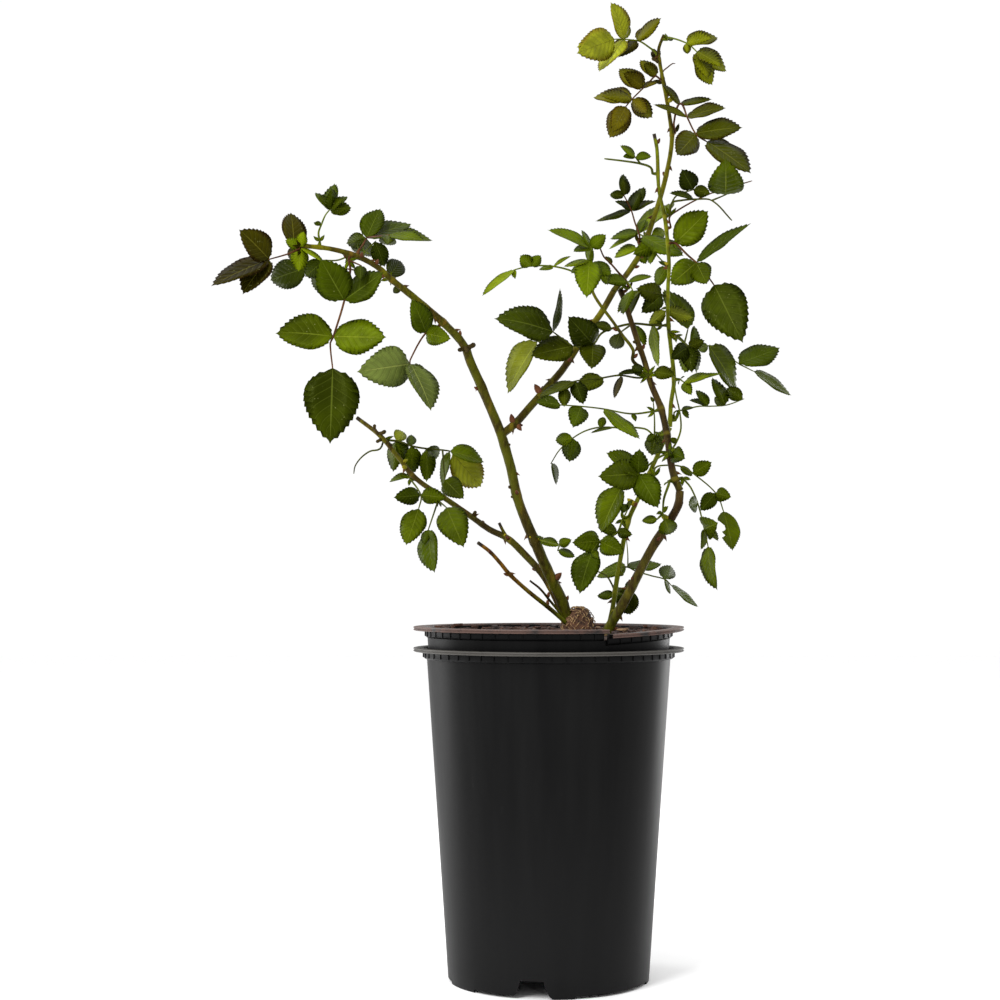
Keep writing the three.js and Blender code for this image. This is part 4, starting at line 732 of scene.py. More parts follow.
def frames_along(centres, first_side):
    """At each centre a frame whose third axis runs on along the route, turned as little as possible."""
    frames = []
    side = first_side
    for i, centre in enumerate(centres):
        onward = centres[min(i + 1, len(centres) - 1)] - centres[max(i - 1, 0)]
        onward.normalize()
        side = (side - onward * side.dot(onward)).normalized()
        frames.append(Matrix((side, onward.cross(side), onward)).transposed())
    return frames


# Meshes


def parts_of_kind(kind, geometry):
    """The vertices, or the faces, among what an operator made."""
    return [part for part in geometry if isinstance(part, kind)]


def tube(centres, radii, sides, first_side=Vector((0.31, -0.9, 0.29)), oval=(1, 1)):
    """A tapered tube, one ring at each centre, whose vertices know how far along they stand."""
    bm = bmesh.new()
    along = bm.verts.layers.float.new("along")
    rings = [
        Matrix.LocRotScale(centre, turned, (radius * oval[0], radius * oval[1], radius))
        for centre, turned, radius in zip(centres, frames_along(centres, first_side), radii)
    ]
    bmesh.ops.create_circle(bm, cap_ends=True, segments=sides, radius=1, matrix=rings[0])
    bm.faces.ensure_lookup_table()
    end = bm.faces[0]
    for i in range(1, len(rings)):
        grown = bmesh.ops.extrude_face_region(bm, geom=[end])["geom"]
        if i > 1:
            bmesh.ops.delete(bm, geom=[end], context="FACES_ONLY")
        ring = parts_of_kind(bmesh.types.BMVert, grown)
        end = parts_of_kind(bmesh.types.BMFace, grown)[0]
        bmesh.ops.transform(bm, matrix=rings[i] @ rings[i - 1].inverted(), verts=ring)
        for vert in ring:
            vert[along] = i / (len(rings) - 1)
    bmesh.ops.recalc_face_normals(bm, faces=bm.faces)
    return bm


def pour(bm, into):
    """Adds a finished bmesh to a larger one and lets go of it."""
    carrier = bpy.data.meshes.new("carrier")
    bm.to_mesh(carrier)
    bm.free()
    into.from_mesh(carrier)
    bpy.data.meshes.remove(carrier)


def give_material(faces, index):
    for face in faces:
        face.material_index = index


def piece(name, bm, materials, replaced=(), smooth=True, crease=None):
    """Turns a bmesh into a piece of the plant, with the materials that its faces use."""
    used = sorted({face.material_index for face in bm.faces})
    for face in bm.faces:
        face.material_index = used.index(face.material_index)
        face.smooth = smooth
    mesh = bpy.data.meshes.new(name)
    bm.to_mesh(mesh)
    bm.free()
    for index in used:
        mesh.materials.append(materials[index])
    if crease:
        mesh.set_sharp_from_angle(angle=math.radians(crease))
    made = bpy.data.objects.new(name, mesh)
    bpy.context.scene.collection.objects.link(made)
    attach(made, "root")
    if replaced:
        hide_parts(*replaced)


# Materials

LEAF_SHEEN = (0.85, 1.0, 0.2, 1)
BARK_SHEEN = (1.0, 0.92, 0.45, 1)
LEAF_GLOSS = 0.06
UNDERSIDE_GLOSS = 0.04
BARK_GLOSS = 0.1
SPECK_COLOUR = (0.2, 0.21, 0.07)
PORE_COLOUR = (0.2, 0.14, 0.05)
CUT_COLOUR = (0.02, 0.014, 0.01)
PLASTIC_BLACK = (0.0018, 0.0018, 0.0019)
PLASTIC_FLOW = (0.0044, 0.0044, 0.0044)
# painted light, laid on the pot wall towards its foot
PLASTIC_FOOT_PAINTED_LIGHT = (0.0085, 0.0085, 0.0087)
PLASTIC_RUBBED = (0.02, 0.02, 0.02)


class Signal:
    """A shader socket that Python's own operators work on."""

    def __init__(self, paint, socket):
        self.paint = paint
        self.socket = socket

    def __add__(self, other):
        return self.paint.maths("ADD", self, other)

    def __sub__(self, other):
        return self.paint.maths("SUBTRACT", self, other)

    def __mul__(self, other):
        return self.paint.maths("MULTIPLY", self, other)

    def __pow__(self, other):
        return self.paint.maths("POWER", self, other)

    def __radd__(self, other):
        return self.paint.maths("ADD", other, self)

    def __rsub__(self, other):
        return self.paint.maths("SUBTRACT", other, self)

    def __rmul__(self, other):
        return self.paint.maths("MULTIPLY", other, self)

    def __rpow__(self, other):
        return self.paint.maths("POWER", other, self)


class Paint:
    """A material under way: its nodes, and the shader that they feed."""

    def __init__(self, name, roughness=0.5):
        self.material = bpy.data.materials.new(name)
        self.material.use_nodes = True
        self.tree = self.material.node_tree
        self.shader = self.tree.nodes["Principled BSDF"]
        self.shader.inputs["Roughness"].default_value = roughness

    def node(self, kind, settings, sockets, out=0):
        made = self.tree.nodes.new(kind)
        for setting, value in settings.items():
            setattr(made, setting, value)
        for key, value in sockets.items():
            self.feed(made.inputs[key], value)
        return Signal(self, made.outputs[out])

    def feed(self, socket, value):
        if isinstance(value, Signal):
            self.tree.links.new(value.socket, socket)
        else:
            socket.default_value = value

    def surface(self, socket, value):
        self.feed(self.shader.inputs[socket], value)

    def gloss(self, level, tint=(1, 1, 1, 1)):
        self.surface("Specular IOR Level", level)
        self.surface("Specular Tint", tint)

    def maths(self, operation, first, second):
        return self.node("ShaderNodeMath", {"operation": operation}, {0: first, 1: second})

    def step(self, value, low, high):
        """0 up to low, 1 from high on, and smooth in between."""
        return self.node(
            "ShaderNodeMapRange", {"interpolation_type": "SMOOTHSTEP"},
            {"Value": value, "From Min": low, "From Max": high},
        )

    def mixed(self, share, first, second):
        ends = [(*end, 1) if isinstance(end, tuple) else end for end in (first, second)]
        return self.node("ShaderNodeMix", {"data_type": "RGBA"}, {0: share, 6: ends[0], 7: ends[1]}, out=2)

    def layered(self, colour, *layers):
        """A colour with others laid over it in turn, each through its own mask."""
        for mask, over in layers:
            colour = self.mixed(mask, colour, over)
        return colour

    def place(self):
        return self.node("ShaderNodeTexCoord", {}, {}, out="Object")

    def stretched(self, place, scale):
        return self.node("ShaderNodeMapping", {}, {"Vector": place, "Scale": scale})

    def cloud(self, place, scale, detail=3.0, roughness=0.55):
        return self.node(
            "ShaderNodeTexNoise", {},
            {"Vector": place, "Scale": scale, "Detail": detail, "Roughness": roughness},
        )

    def attribute(self, name):
        return self.node("ShaderNodeAttribute", {"attribute_name": name}, {}, out="Fac")

    def pores(self, place, scale):
        return self.node("ShaderNodeTexVoronoi", {}, {"Vector": place, "Scale": scale})

    def parts(self, vector):
        split = self.node("ShaderNodeSeparateXYZ", {}, {0: vector})
        return [Signal(self, output) for output in split.socket.node.outputs]

    def relief(self, height, strength, distance):
        bump = self.node(
            "ShaderNodeBump", {}, {"Height": height, "Strength": strength, "Distance": distance * MM},
        )
        self.surface("Normal", bump)


def scaled(colour, share):
    return tuple(min(1, value * share) for value in colour)


def leaf_veins(paint, midrib_width, vein_width):
    """How far out a place is, masks of its midrib and side veins, and how far it is from one of these."""
    length, breadth, _ = paint.parts(paint.node("ShaderNodeUVMap", {"uv_map": "leaf"}, {}))
    side = paint.maths("ABSOLUTE", breadth * 2 - 1, 0)
    midrib = 1 - paint.step(side, midrib_width * 0.4, midrib_width)
    course = paint.maths("PINGPONG", length * 8 - side * 2.1, 0.5)
    veins = (1 - paint.step(course, 0, vein_width)) * (1 - paint.step(side, 0.7, 0.97))
    return side, midrib, veins, course


def leaf_material(name, upper, vein, roughness=0.3, margin=None):
    """The glossy upper side of a leaflet, with painted shade in the hollows beside its veins."""
    paint = Paint(name)
    paint.gloss(LEAF_GLOSS, LEAF_SHEEN)
    side, midrib, veins, course = leaf_veins(paint, 0.045, 0.07)
    place = paint.place()
    mottle = paint.cloud(place, 110, 4)
    shade = paint.cloud(place, 26, 2)
    deep = scaled(upper, 0.64)
    edge = margin or deep
    specks = (1 - paint.step(paint.pores(place, 380), 0.1, 0.22)) * paint.step(mottle, 0.5, 0.62)
    colour = paint.layered(
        deep,
        (paint.step(shade, 0.32, 0.68), scaled(upper, 1.52)),
        (paint.step(mottle, 0.4, 0.7) * 0.5, deep),
        # painted shade: darker next to the sunken veins, in the hollows between the swellings of the leaf
        ((1 - paint.step(course, 0.08, 0.3)) * 0.35, deep),
        (paint.step(side, 0.9, 1.0) * 0.5, edge),
    )
    if margin:
        colour = paint.mixed(paint.step(side + mottle * 0.5, 0.85, 1.3) * 0.85, colour, margin)
    colour = paint.layered(colour, (midrib * 0.6, vein), (veins * 0.32, vein), (specks * 0.5, SPECK_COLOUR))
    paint.surface("Base Color", colour)
    paint.surface("Roughness", roughness - 0.08 + mottle * 0.26 + midrib * 0.1)
    pillow = (course * 2) ** 0.6
    fine = paint.cloud(place, 700, 3) * 0.5
    paint.relief(pillow * 0.7 - midrib * 0.7 + fine + mottle * 0.7, 0.75, 0.45)
    return paint.material


def underside_material(name, colour, vein):
    """The dull lower side of a leaflet, where the veins stand proud."""
    paint = Paint(name)
    paint.gloss(UNDERSIDE_GLOSS, LEAF_SHEEN)
    _, midrib, veins, _ = leaf_veins(paint, 0.08, 0.12)
    mottle = paint.cloud(paint.place(), 120, 3)
    paler = (paint.step(mottle, 0.3, 0.7), scaled(colour, 1.3))
    paint.surface("Base Color", paint.layered(colour, paler, (midrib * 0.8, vein), (veins * 0.45, vein)))
    paint.surface("Roughness", 0.6 + mottle * 0.15)
    paint.relief(midrib + veins * 0.6, 0.4, 0.4)
    return paint.material


def bark_material(name, foot, tip, blotch, joint):
    """Smooth rose bark: its colour goes from foot to tip, with long blotches, pores, tinted nodes and
    painted highlight streaks.
    """
    paint = Paint(name)
    paint.gloss(BARK_GLOSS, BARK_SHEEN)
    along, node, cut = (paint.attribute(part) for part in ("along", "node", "cut"))
    place = paint.place()
    streak = paint.cloud(paint.stretched(place, (1, 1, 0.3)), 240, 4, 0.6)
    blotches = paint.cloud(paint.stretched(place, (1, 1, 0.4)), 70, 4, 0.6)
    painted_gleam = paint.cloud(paint.stretched(place, (1, 1, 0.2)), 150, 3, 0.5)
    patches = paint.cloud(paint.stretched(place, (1, 1, 0.5)), 36, 3, 0.5)
    pores = paint.pores(place, 420)
    colour = paint.layered(
        foot,
        (paint.step(along + (blotches - 0.5) * 0.9, 0.1, 0.9), tip),
        (paint.step(blotches, 0.46, 0.6) * 0.85, blotch),
        (paint.step(streak, 0.48, 0.68) * 0.65, scaled(blotch, 0.35)),
        # painted highlight: pale streaks in the joints' colour that stand in for glints along the cane
        (paint.step(painted_gleam, 0.56, 0.7) * 0.45, joint),
        (paint.step(patches, 0.56, 0.64) * 0.75, scaled(blotch, 0.45)),
        ((1 - paint.step(pores, 0.08, 0.2)) * 0.3, PORE_COLOUR),
        (paint.step(node + (streak - 0.5) * 0.8, 0.6, 1.1) * 0.7, joint),
        (cut, CUT_COLOUR),
    )
    paint.surface("Base Color", colour)
    paint.surface("Roughness", 0.4 + streak * 0.25)
    paint.relief(streak * 0.8 + blotches * 0.3 - (1 - paint.step(pores, 0.05, 0.2)) * 0.4, 0.6, 0.35)
    return paint.material


def growth_material(name, low, high, roughness=0.45):
    """Stalks, prickles and buds: two close tones in streaks."""
    paint = Paint(name)
    paint.gloss(BARK_GLOSS, BARK_SHEEN)
    streak = paint.cloud(paint.stretched(paint.place(), (1, 1, 0.4)), 160, 3)
    paint.surface("Base Color", paint.mixed(paint.step(streak, 0.3, 0.7), low, high))
    paint.surface("Roughness", roughness + streak * 0.15)
    paint.relief(streak, 0.35, 0.2)
    return paint.material


def pot_material(name, dust, dust_share, gloss=0.07):
    """Black moulded plastic with faint flow lines and painted light that lightens it towards the foot,
    rubbed here and there, and dusty where dust settles.
    """
    paint = Paint(name)
    paint.gloss(gloss)
    place = paint.place()
    _, _, height = paint.parts(place)
    flow = paint.cloud(paint.stretched(place, (1, 1, 0.06)), 60, 4, 0.6)
    rubbed = paint.cloud(paint.stretched(place, (1, 1, 0.3)), 180, 5, 0.7)
    film = paint.cloud(place, 55, 5, 0.65)
    dusted = paint.step(film, 0.7 - dust_share, 0.95 - dust_share) * 0.85
    colour = paint.layered(
        PLASTIC_BLACK,
        (paint.step(flow, 0.3, 0.75), PLASTIC_FLOW),
        # painted light: the wall is painted lighter towards its foot
        ((1 - paint.step(height, 0.02, 0.2)) * 0.6, PLASTIC_FOOT_PAINTED_LIGHT),
        (paint.step(rubbed, 0.66, 0.78) * 0.25, PLASTIC_RUBBED),
        (dusted, dust),
    )
    paint.surface("Base Color", colour)
    paint.surface("Roughness", 0.36 + flow * 0.14 + dusted * 0.2)
    paint.relief(flow * 0.5 + rubbed * 0.35 + film * 0.3, 0.12, 0.5)
    return paint.material


def crumb_material(name, low, high):
    """Bark chips, peat and straw fibre."""
    paint = Paint(name)
    place = paint.place()
    grain = paint.cloud(place, 260, 6, 0.7)
    clump = paint.cloud(place, 60, 3)
    paint.surface("Base Color", paint.mixed(paint.step(grain * 0.6 + clump * 0.4, 0.38, 0.62), low, high))
    paint.surface("Roughness", 0.75 + grain * 0.2)
    paint.relief(grain, 0.9, 1.0)
    return paint.material


# Upper sides of leaflets: colour, colour of the veins, roughness, and colour of the margin
LEAF_SHADES = {
    "green": [
        ("leaf_meadow_green", (0.045, 0.062, 0.0005), (0.13, 0.16, 0.012)),
        ("leaf_deep_green", (0.033, 0.049, 0.0005), (0.1, 0.13, 0.012)),
        ("leaf_sunlit_green", (0.056, 0.079, 0.0006), (0.16, 0.19, 0.014)),
    ],
    "dark": [
        ("leaf_shade_green", (0.014, 0.02, 0.0005), (0.07, 0.09, 0.01)),
        ("leaf_dusk_green", (0.02, 0.028, 0.0005), (0.08, 0.1, 0.01)),
        ("leaf_olive_dark", (0.029, 0.036, 0.0006), (0.11, 0.13, 0.012)),
    ],
    "fresh": [
        ("leaf_spring_green", (0.075, 0.107, 0.001), (0.18, 0.22, 0.016), 0.34),
        ("leaf_lime_green", (0.105, 0.14, 0.0012), (0.22, 0.26, 0.02), 0.34),
        ("leaf_new_green", (0.05, 0.074, 0.001), (0.15, 0.18, 0.014), 0.32),
    ],
    "young": [
        ("leaf_young_green", (0.03, 0.034, 0.0006), (0.12, 0.125, 0.012), 0.26, (0.025, 0.011, 0.002)),
        ("leaf_young_olive", (0.04, 0.042, 0.0006), (0.14, 0.14, 0.012), 0.28, (0.03, 0.014, 0.002)),
    ],
    "bronze": [
        ("leaf_bronze", (0.022, 0.019, 0.0004), (0.13, 0.12, 0.012), 0.26, (0.02, 0.008, 0.002)),
        ("leaf_wine_brown", (0.019, 0.014, 0.0004), (0.1, 0.09, 0.012), 0.26, (0.018, 0.006, 0.002)),
    ],
    "tawny": [
        ("leaf_tawny", (0.062, 0.05, 0.0008), (0.15, 0.13, 0.01), 0.3, (0.04, 0.018, 0.002)),
        ("leaf_tawny_olive", (0.085, 0.08, 0.001), (0.17, 0.17, 0.01), 0.3, (0.05, 0.026, 0.002)),
    ],
    "olive": [
        ("leaf_olive_light", (0.075, 0.08, 0.0008), (0.18, 0.19, 0.014), 0.3, (0.05, 0.04, 0.002)),
        ("leaf_olive_lime", (0.1, 0.11, 0.001), (0.2, 0.21, 0.014), 0.3, (0.06, 0.05, 0.002)),
    ],
    "pale": [
        ("leaf_pale_olive", (0.21, 0.225, 0.01), (0.15, 0.15, 0.012), 0.4, (0.16, 0.11, 0.01)),
        ("leaf_pale_green", (0.13, 0.145, 0.006), (0.25, 0.28, 0.03), 0.4),
    ],
    "dry": [("leaf_dry", (0.028, 0.022, 0.008), (0.07, 0.055, 0.02), 0.55)],
    # painted sheen: a pale grey-green with pale veins that stands in for the glossy highlights of leaflets
    # turned to the light
    "silver": [("leaf_silver_sheen", (0.085, 0.11, 0.022), (0.24, 0.27, 0.06), 0.16)],
}
LEAF_UPPERS = {tone: [leaf_material(*shade) for shade in shades] for tone, shades in LEAF_SHADES.items()}
LEAF_UPPERS["deep"] = LEAF_UPPERS["dark"][1:2]
LEAF_UNDERSIDES = {
    "green": underside_material("underside_green", (0.06, 0.08, 0.004), (0.12, 0.14, 0.014)),
    "dark": underside_material("underside_grey_green", (0.045, 0.06, 0.005), (0.1, 0.12, 0.014)),
    "fresh": underside_material("underside_lime", (0.12, 0.15, 0.006), (0.2, 0.23, 0.02)),
    "young": underside_material("underside_wine", (0.055, 0.045, 0.005), (0.12, 0.11, 0.014)),
}
UNDERSIDE_OF_TONE = {
    "dry": "young", "bronze": "young", "tawny": "young", "pale": "fresh", "olive": "fresh",
    "silver": "green", "deep": "green",
}
LEAF_MATERIALS = [material for shades in LEAF_UPPERS.values() for material in shades]
LEAF_MATERIALS += LEAF_UNDERSIDES.values()
SLOT_OF_TONE = {"green": "leaf_green", "dark": "leaf_dark", "fresh": "leaf_fresh", "young": "leaf_young"}
SHOWN_TONE = {
    "left_tip_leaves": "bronze", "upper_left_leaf": "tawny", "top_left_leaf": "pale",
    "top_right_leaf": "olive", "young_leaf": "dark", "foot_leaves": "green", "low_left_shoot": "green",
    "left_top_shoot": "green", "thin_right_twig": "green",
}

# Barks: the colours of foot, tip, blotches and joints; the joints' colour also makes the painted highlight
# streaks
BARK_COLOURS = {
    "green": ((0.05, 0.052, 0.002), (0.13, 0.12, 0.003), (0.028, 0.018, 0.003), (0.15, 0.09, 0.008)),
    "spring_green": ((0.055, 0.06, 0.002), (0.135, 0.16, 0.004), (0.065, 0.07, 0.003), (0.17, 0.16, 0.008)),
    "olive": ((0.042, 0.038, 0.002), (0.115, 0.105, 0.003), (0.035, 0.018, 0.003), (0.16, 0.12, 0.008)),
    "brown": ((0.055, 0.058, 0.002), (0.04, 0.022, 0.006), (0.018, 0.008, 0.004), (0.12, 0.1, 0.008)),
    "amber": ((0.075, 0.085, 0.003), (0.17, 0.075, 0.006), (0.04, 0.02, 0.004), (0.26, 0.11, 0.012)),
}
BARKS = {name: bark_material("bark_" + name, *colours) for name, colours in BARK_COLOURS.items()}
BARK_SHOWN = {
    "straight_cane_lower": "spring_green", "straight_cane_upper": "spring_green",
    "low_left_cane": "olive", "low_left_stub": "olive", "middle_cane_lower": "olive",
    "cut_thin_cane": "amber",
}
PRICKLE_RED = growth_material("prickle_red", (0.035, 0.014, 0.006), (0.1, 0.042, 0.013))
BUD_RED = growth_material("bud_red", (0.045, 0.012, 0.007), (0.12, 0.045, 0.02))
BUD_YELLOW = growth_material("bud_yellow", (0.14, 0.15, 0.006), (0.28, 0.22, 0.012))
STUB_BROWN = growth_material("stub_brown", (0.016, 0.01, 0.004), (0.05, 0.034, 0.01), 0.6)
STALK_TONES = {
    "green": growth_material("stalk_green", (0.035, 0.045, 0.002), (0.08, 0.1, 0.005)),
    "dark": growth_material("stalk_dull_green", (0.022, 0.026, 0.002), (0.05, 0.058, 0.004)),
    "fresh": growth_material("stalk_fresh_green", (0.06, 0.085, 0.003), (0.12, 0.15, 0.006)),
    "young": growth_material("stalk_wine_red", (0.035, 0.011, 0.005), (0.09, 0.035, 0.012)),
}
STALK_SHOWN = {
    "left_hanging_leaf": "young", "left_upper_leaves": "young", "left_long_leaf": "young",
    "knuckle_leaf": "young", "right_long_leaf": "young", "top_left_leaf": "fresh",
    "top_right_leaf": "fresh",
}


# Pots


def taper_radius(height):
    taper = (POT_SHOULDER_WIDTH - POT_FOOT_WIDTH) / 2 / (POT_HEIGHT - LIP_HEIGHT - BAND_HEIGHT)
    return POT_FOOT_WIDTH / 2 + taper * height


def lathe(profile, steps, start=0.0, sweep=360.0):
    """Turns a closed or axis-to-axis outline of (radius, height) in millimetres round the pot's axis."""
    bm = bmesh.new()
    turned = Matrix.Rotation(math.radians(start), 4, "Z")
    verts = [bm.verts.new(turned @ Vector((0, -radius, height)) * MM) for radius, height in profile]
    edges = [bm.edges.new(pair) for pair in zip(verts, verts[1:])]
    if profile[0][0] > 0:
        edges.append(bm.edges.new((verts[-1], verts[0])))
    whole = sweep == 360.0
    bmesh.ops.spin(
        bm, geom=verts + edges, cent=(0, 0, 0), axis=(0, 0, 1), angle=math.radians(sweep), steps=steps,
        use_merge=whole,
    )
    bmesh.ops.remove_doubles(bm, verts=bm.verts, dist=0.01 * MM)
    if not whole:
        bmesh.ops.holes_fill(bm, edges=[edge for edge in bm.edges if edge.is_boundary])
    bmesh.ops.recalc_face_normals(bm, faces=bm.faces)
    return bm


def rim_profile(let_in, rise):
    """The outline of band, lip and inner edge of a pot, with a groove round the lip's edge."""
    band_foot = POT_HEIGHT - LIP_HEIGHT - BAND_HEIGHT + rise
    lip_foot = POT_HEIGHT - LIP_HEIGHT + rise
    top = POT_HEIGHT + rise
    shoulder = POT_SHOULDER_WIDTH / 2 - let_in
    band = shoulder + BAND_DEPTH - RIB_STAND
    lip = POT_RIM_WIDTH / 2
    inner = band - POT_WALL + RIB_STAND
    return [
        (shoulder, band_foot), (shoulder + 1.6, band_foot + 0.3), (band, band_foot + 1.6),
        (band, lip_foot - 0.6), (band + 0.8, lip_foot), (lip - 0.7, lip_foot), (lip - 0.1, lip_foot + 0.3),
        (lip, lip_foot + 0.8), (lip - 0.7, lip_foot + 1.2), (lip - 0.7, lip_foot + 1.7),
        (lip, lip_foot + 2.1), (lip - 0.1, top - 0.2), (lip - 0.8, top), (inner + 1.4, top),
        (inner + 0.4, top - 0.5), (inner, top - 1.6), (inner, band_foot + 3),
        (shoulder - POT_WALL, band_foot + 1), (shoulder - POT_WALL, band_foot),
    ]


def wall_profile(let_in, rise):
    """The outline of a pot's wall, base and foot, up to its band."""
    def outside(height):
        return taper_radius(height + rise) - let_in

    band_foot = POT_HEIGHT - LIP_HEIGHT - BAND_HEIGHT
    floor = BASE_RAISE + BASE_THICKNESS
    outline = [
        (0, 0), (11, 0), (12, 0.6), (13, BASE_RAISE), (outside(BASE_RAISE) - POT_WALL, BASE_RAISE),
        (outside(0) - POT_WALL, 0), (outside(0) - 0.3, 0), (outside(0.4), 0.4),
        (outside(BASE_RAISE + 3), BASE_RAISE + 3), (outside(BASE_RAISE + 9), BASE_RAISE + 9),
        (outside(band_foot * 0.5), band_foot * 0.5), (outside(band_foot + 0.4), band_foot + 0.4),
        (outside(band_foot + 0.4) - POT_WALL, band_foot + 0.4), (outside(floor + 3) - POT_WALL, floor + 3),
        (outside(floor) - POT_WALL - 3, floor), (0, floor),
    ]
    return [(radius, height + rise) for radius, height in outline]


def cut_away(bm, cutter):
    """Takes the cutter's solid out of a bmesh with a Boolean modifier, and returns what is left."""
    scene = bpy.context.scene
    made = []
    for name, source in (("uncut", bm), ("cutter", cutter)):
        mesh = bpy.data.meshes.new(name)
        source.to_mesh(mesh)
        source.free()
        made.append(bpy.data.objects.new(name, mesh))
        scene.collection.objects.link(made[-1])
    boolean = made[0].modifiers.new("cut", "BOOLEAN")
    boolean.operation = "DIFFERENCE"
    boolean.solver = "EXACT"
    boolean.object = made[1]
    left = bmesh.new()
    left.from_object(made[0], bpy.context.evaluated_depsgraph_get())
    for thing in made:
        mesh = thing.data
        bpy.data.objects.remove(thing)
        bpy.data.meshes.remove(mesh)
    return left


def foot_cutters():
    """What is cut from the foot ring, one by one: the recesses between its pads, and its drain notches."""
    foot_radius = taper_radius(0)
    for i, (_, start) in enumerate(FOOT_PADS):
        end = FOOT_PADS[i + 1][0] if i + 1 < len(FOOT_PADS) else FOOT_PADS[0][0] + 360
        inside, outside = foot_radius - RECESS_INWARD, foot_radius + RECESS_OUTWARD
        outline = [
            (inside, -CUT_BELOW), (outside, -CUT_BELOW), (outside, FOOT_RECESS), (inside, FOOT_RECESS),
        ]
        yield lathe(outline, max(6, round((end - start) / 4)), start, end - start)
    for direction in DRAIN_NOTCHES:
        yield drain_notch(direction, foot_radius)


def drain_notch(direction, radius):
    """A notch that is wide at the ground and narrows in a curve to its flat top."""
    top, foot = NOTCH_TOP_WIDTH / 2, NOTCH_FOOT_WIDTH / 2
    bend = (top + 2, 3)
    curve = []
    for share in (0, 0.2, 0.4, 0.6, 0.8, 1):
        low = [lerp(a, b, share) for a, b in zip((foot, 0), bend)]
        high = [lerp(a, b, share) for a, b in zip(bend, (top, BASE_RAISE))]
        curve.append(tuple(lerp(a, b, share) for a, b in zip(low, high)))
    mirrored = [(-across, up) for across, up in reversed(curve)]
    outline = [(foot + 3, -CUT_BELOW), *curve, *mirrored, (-foot - 3, -CUT_BELOW)]
    bm = bmesh.new()
    front = -radius - NOTCH_OUTWARD
    face = bm.faces.new([bm.verts.new(Vector((across, front, up)) * MM) for across, up in outline])
    grown = bmesh.ops.extrude_face_region(bm, geom=[face])["geom"]
    moved = parts_of_kind(bmesh.types.BMVert, grown)
    bmesh.ops.translate(bm, vec=Vector((0, NOTCH_CUT, 0)) * MM, verts=moved)
    bmesh.ops.recalc_face_normals(bm, faces=bm.faces)
    turn = Matrix.Rotation(math.radians(direction), 3, "Z")
    bmesh.ops.rotate(bm, cent=(0, 0, 0), matrix=turn, verts=bm.verts)
    return bm


def finish_lip(bm, rise):
    """Gives the faces of the lip their own material."""
    lip_foot = (POT_HEIGHT - LIP_HEIGHT + rise) * MM
    give_material([face for face in bm.faces if face.calc_center_median().z > lip_foot], 1)


def rim_ribs(let_in, rise, into):
    """Thin upright ribs round the band, under the lip."""
    band = POT_SHOULDER_WIDTH / 2 - let_in + BAND_DEPTH
    middle = POT_HEIGHT - LIP_HEIGHT - BAND_HEIGHT + rise + RIB_FOOT_GAP + RIB_SIZE[2] / 2
    for i in range(RIB_COUNT):
        rib = bmesh.new()
        bmesh.ops.create_cube(rib, size=1)
        bmesh.ops.scale(rib, vec=Vector(RIB_SIZE) * MM, verts=rib.verts)
        bmesh.ops.translate(rib, vec=Vector((0, -band + RIB_SINK, middle)) * MM, verts=rib.verts)
        turn = Matrix.Rotation(math.tau * i / RIB_COUNT, 3, "Z")
        bmesh.ops.rotate(rib, cent=(0, 0, 0), matrix=turn, verts=rib.verts)
        pour(rib, into)


def sag_beside_split(bm):
    """Lets the rim hang down beside its split and rise again to the right."""
    for vert in bm.verts:
        turn = math.degrees(math.atan2(vert.co.x, -vert.co.y))
        if SPLIT_TURN < turn < SAG_END:
            share = 1 - (turn - SPLIT_TURN) / (SAG_END - SPLIT_TURN)
            vert.co.z -= SPLIT_SAG * MM * share ** 1.4


def build_pots():
    plastic = pot_material("pot_plastic_black", (0.02, 0.018, 0.016), 0.03)
    scuffed = pot_material("pot_lip_scuffed", (0.055, 0.05, 0.043), 0.5, 0.5)
    dusty = pot_material("pot_lip_dusty", (0.085, 0.042, 0.03), 0.4, 0.5)
    outer = lathe(wall_profile(0, 0), RIM_STEPS)
    for cutter in foot_cutters():
        outer = cut_away(outer, cutter)
    piece("outer_pot_wall", outer, [plastic], ["outer_pot"], crease=40)
    rim = lathe(rim_profile(0, 0), RIM_STEPS)
    finish_lip(rim, 0)
    rim_ribs(0, 0, rim)
    piece("outer_pot_rim", rim, [plastic, scuffed], crease=50)
    let_in = POT_WALL + POT_CLEARANCE
    inner = lathe(wall_profile(let_in, NESTING_RISE), RIM_STEPS)
    piece("inner_pot_wall", inner, [plastic], ["inner_pot"], crease=40)
    profile = rim_profile(let_in, NESTING_RISE)
    inner_rim = lathe(profile, RIM_STEPS, SPLIT_TURN + SPLIT_GAP, 360 - 2 * SPLIT_GAP)
    finish_lip(inner_rim, NESTING_RISE)
    rim_ribs(let_in, NESTING_RISE, inner_rim)
    sag_beside_split(inner_rim)
    piece("inner_pot_rim", inner_rim, [plastic, dusty], crease=50)


# Potting mix and graft knob


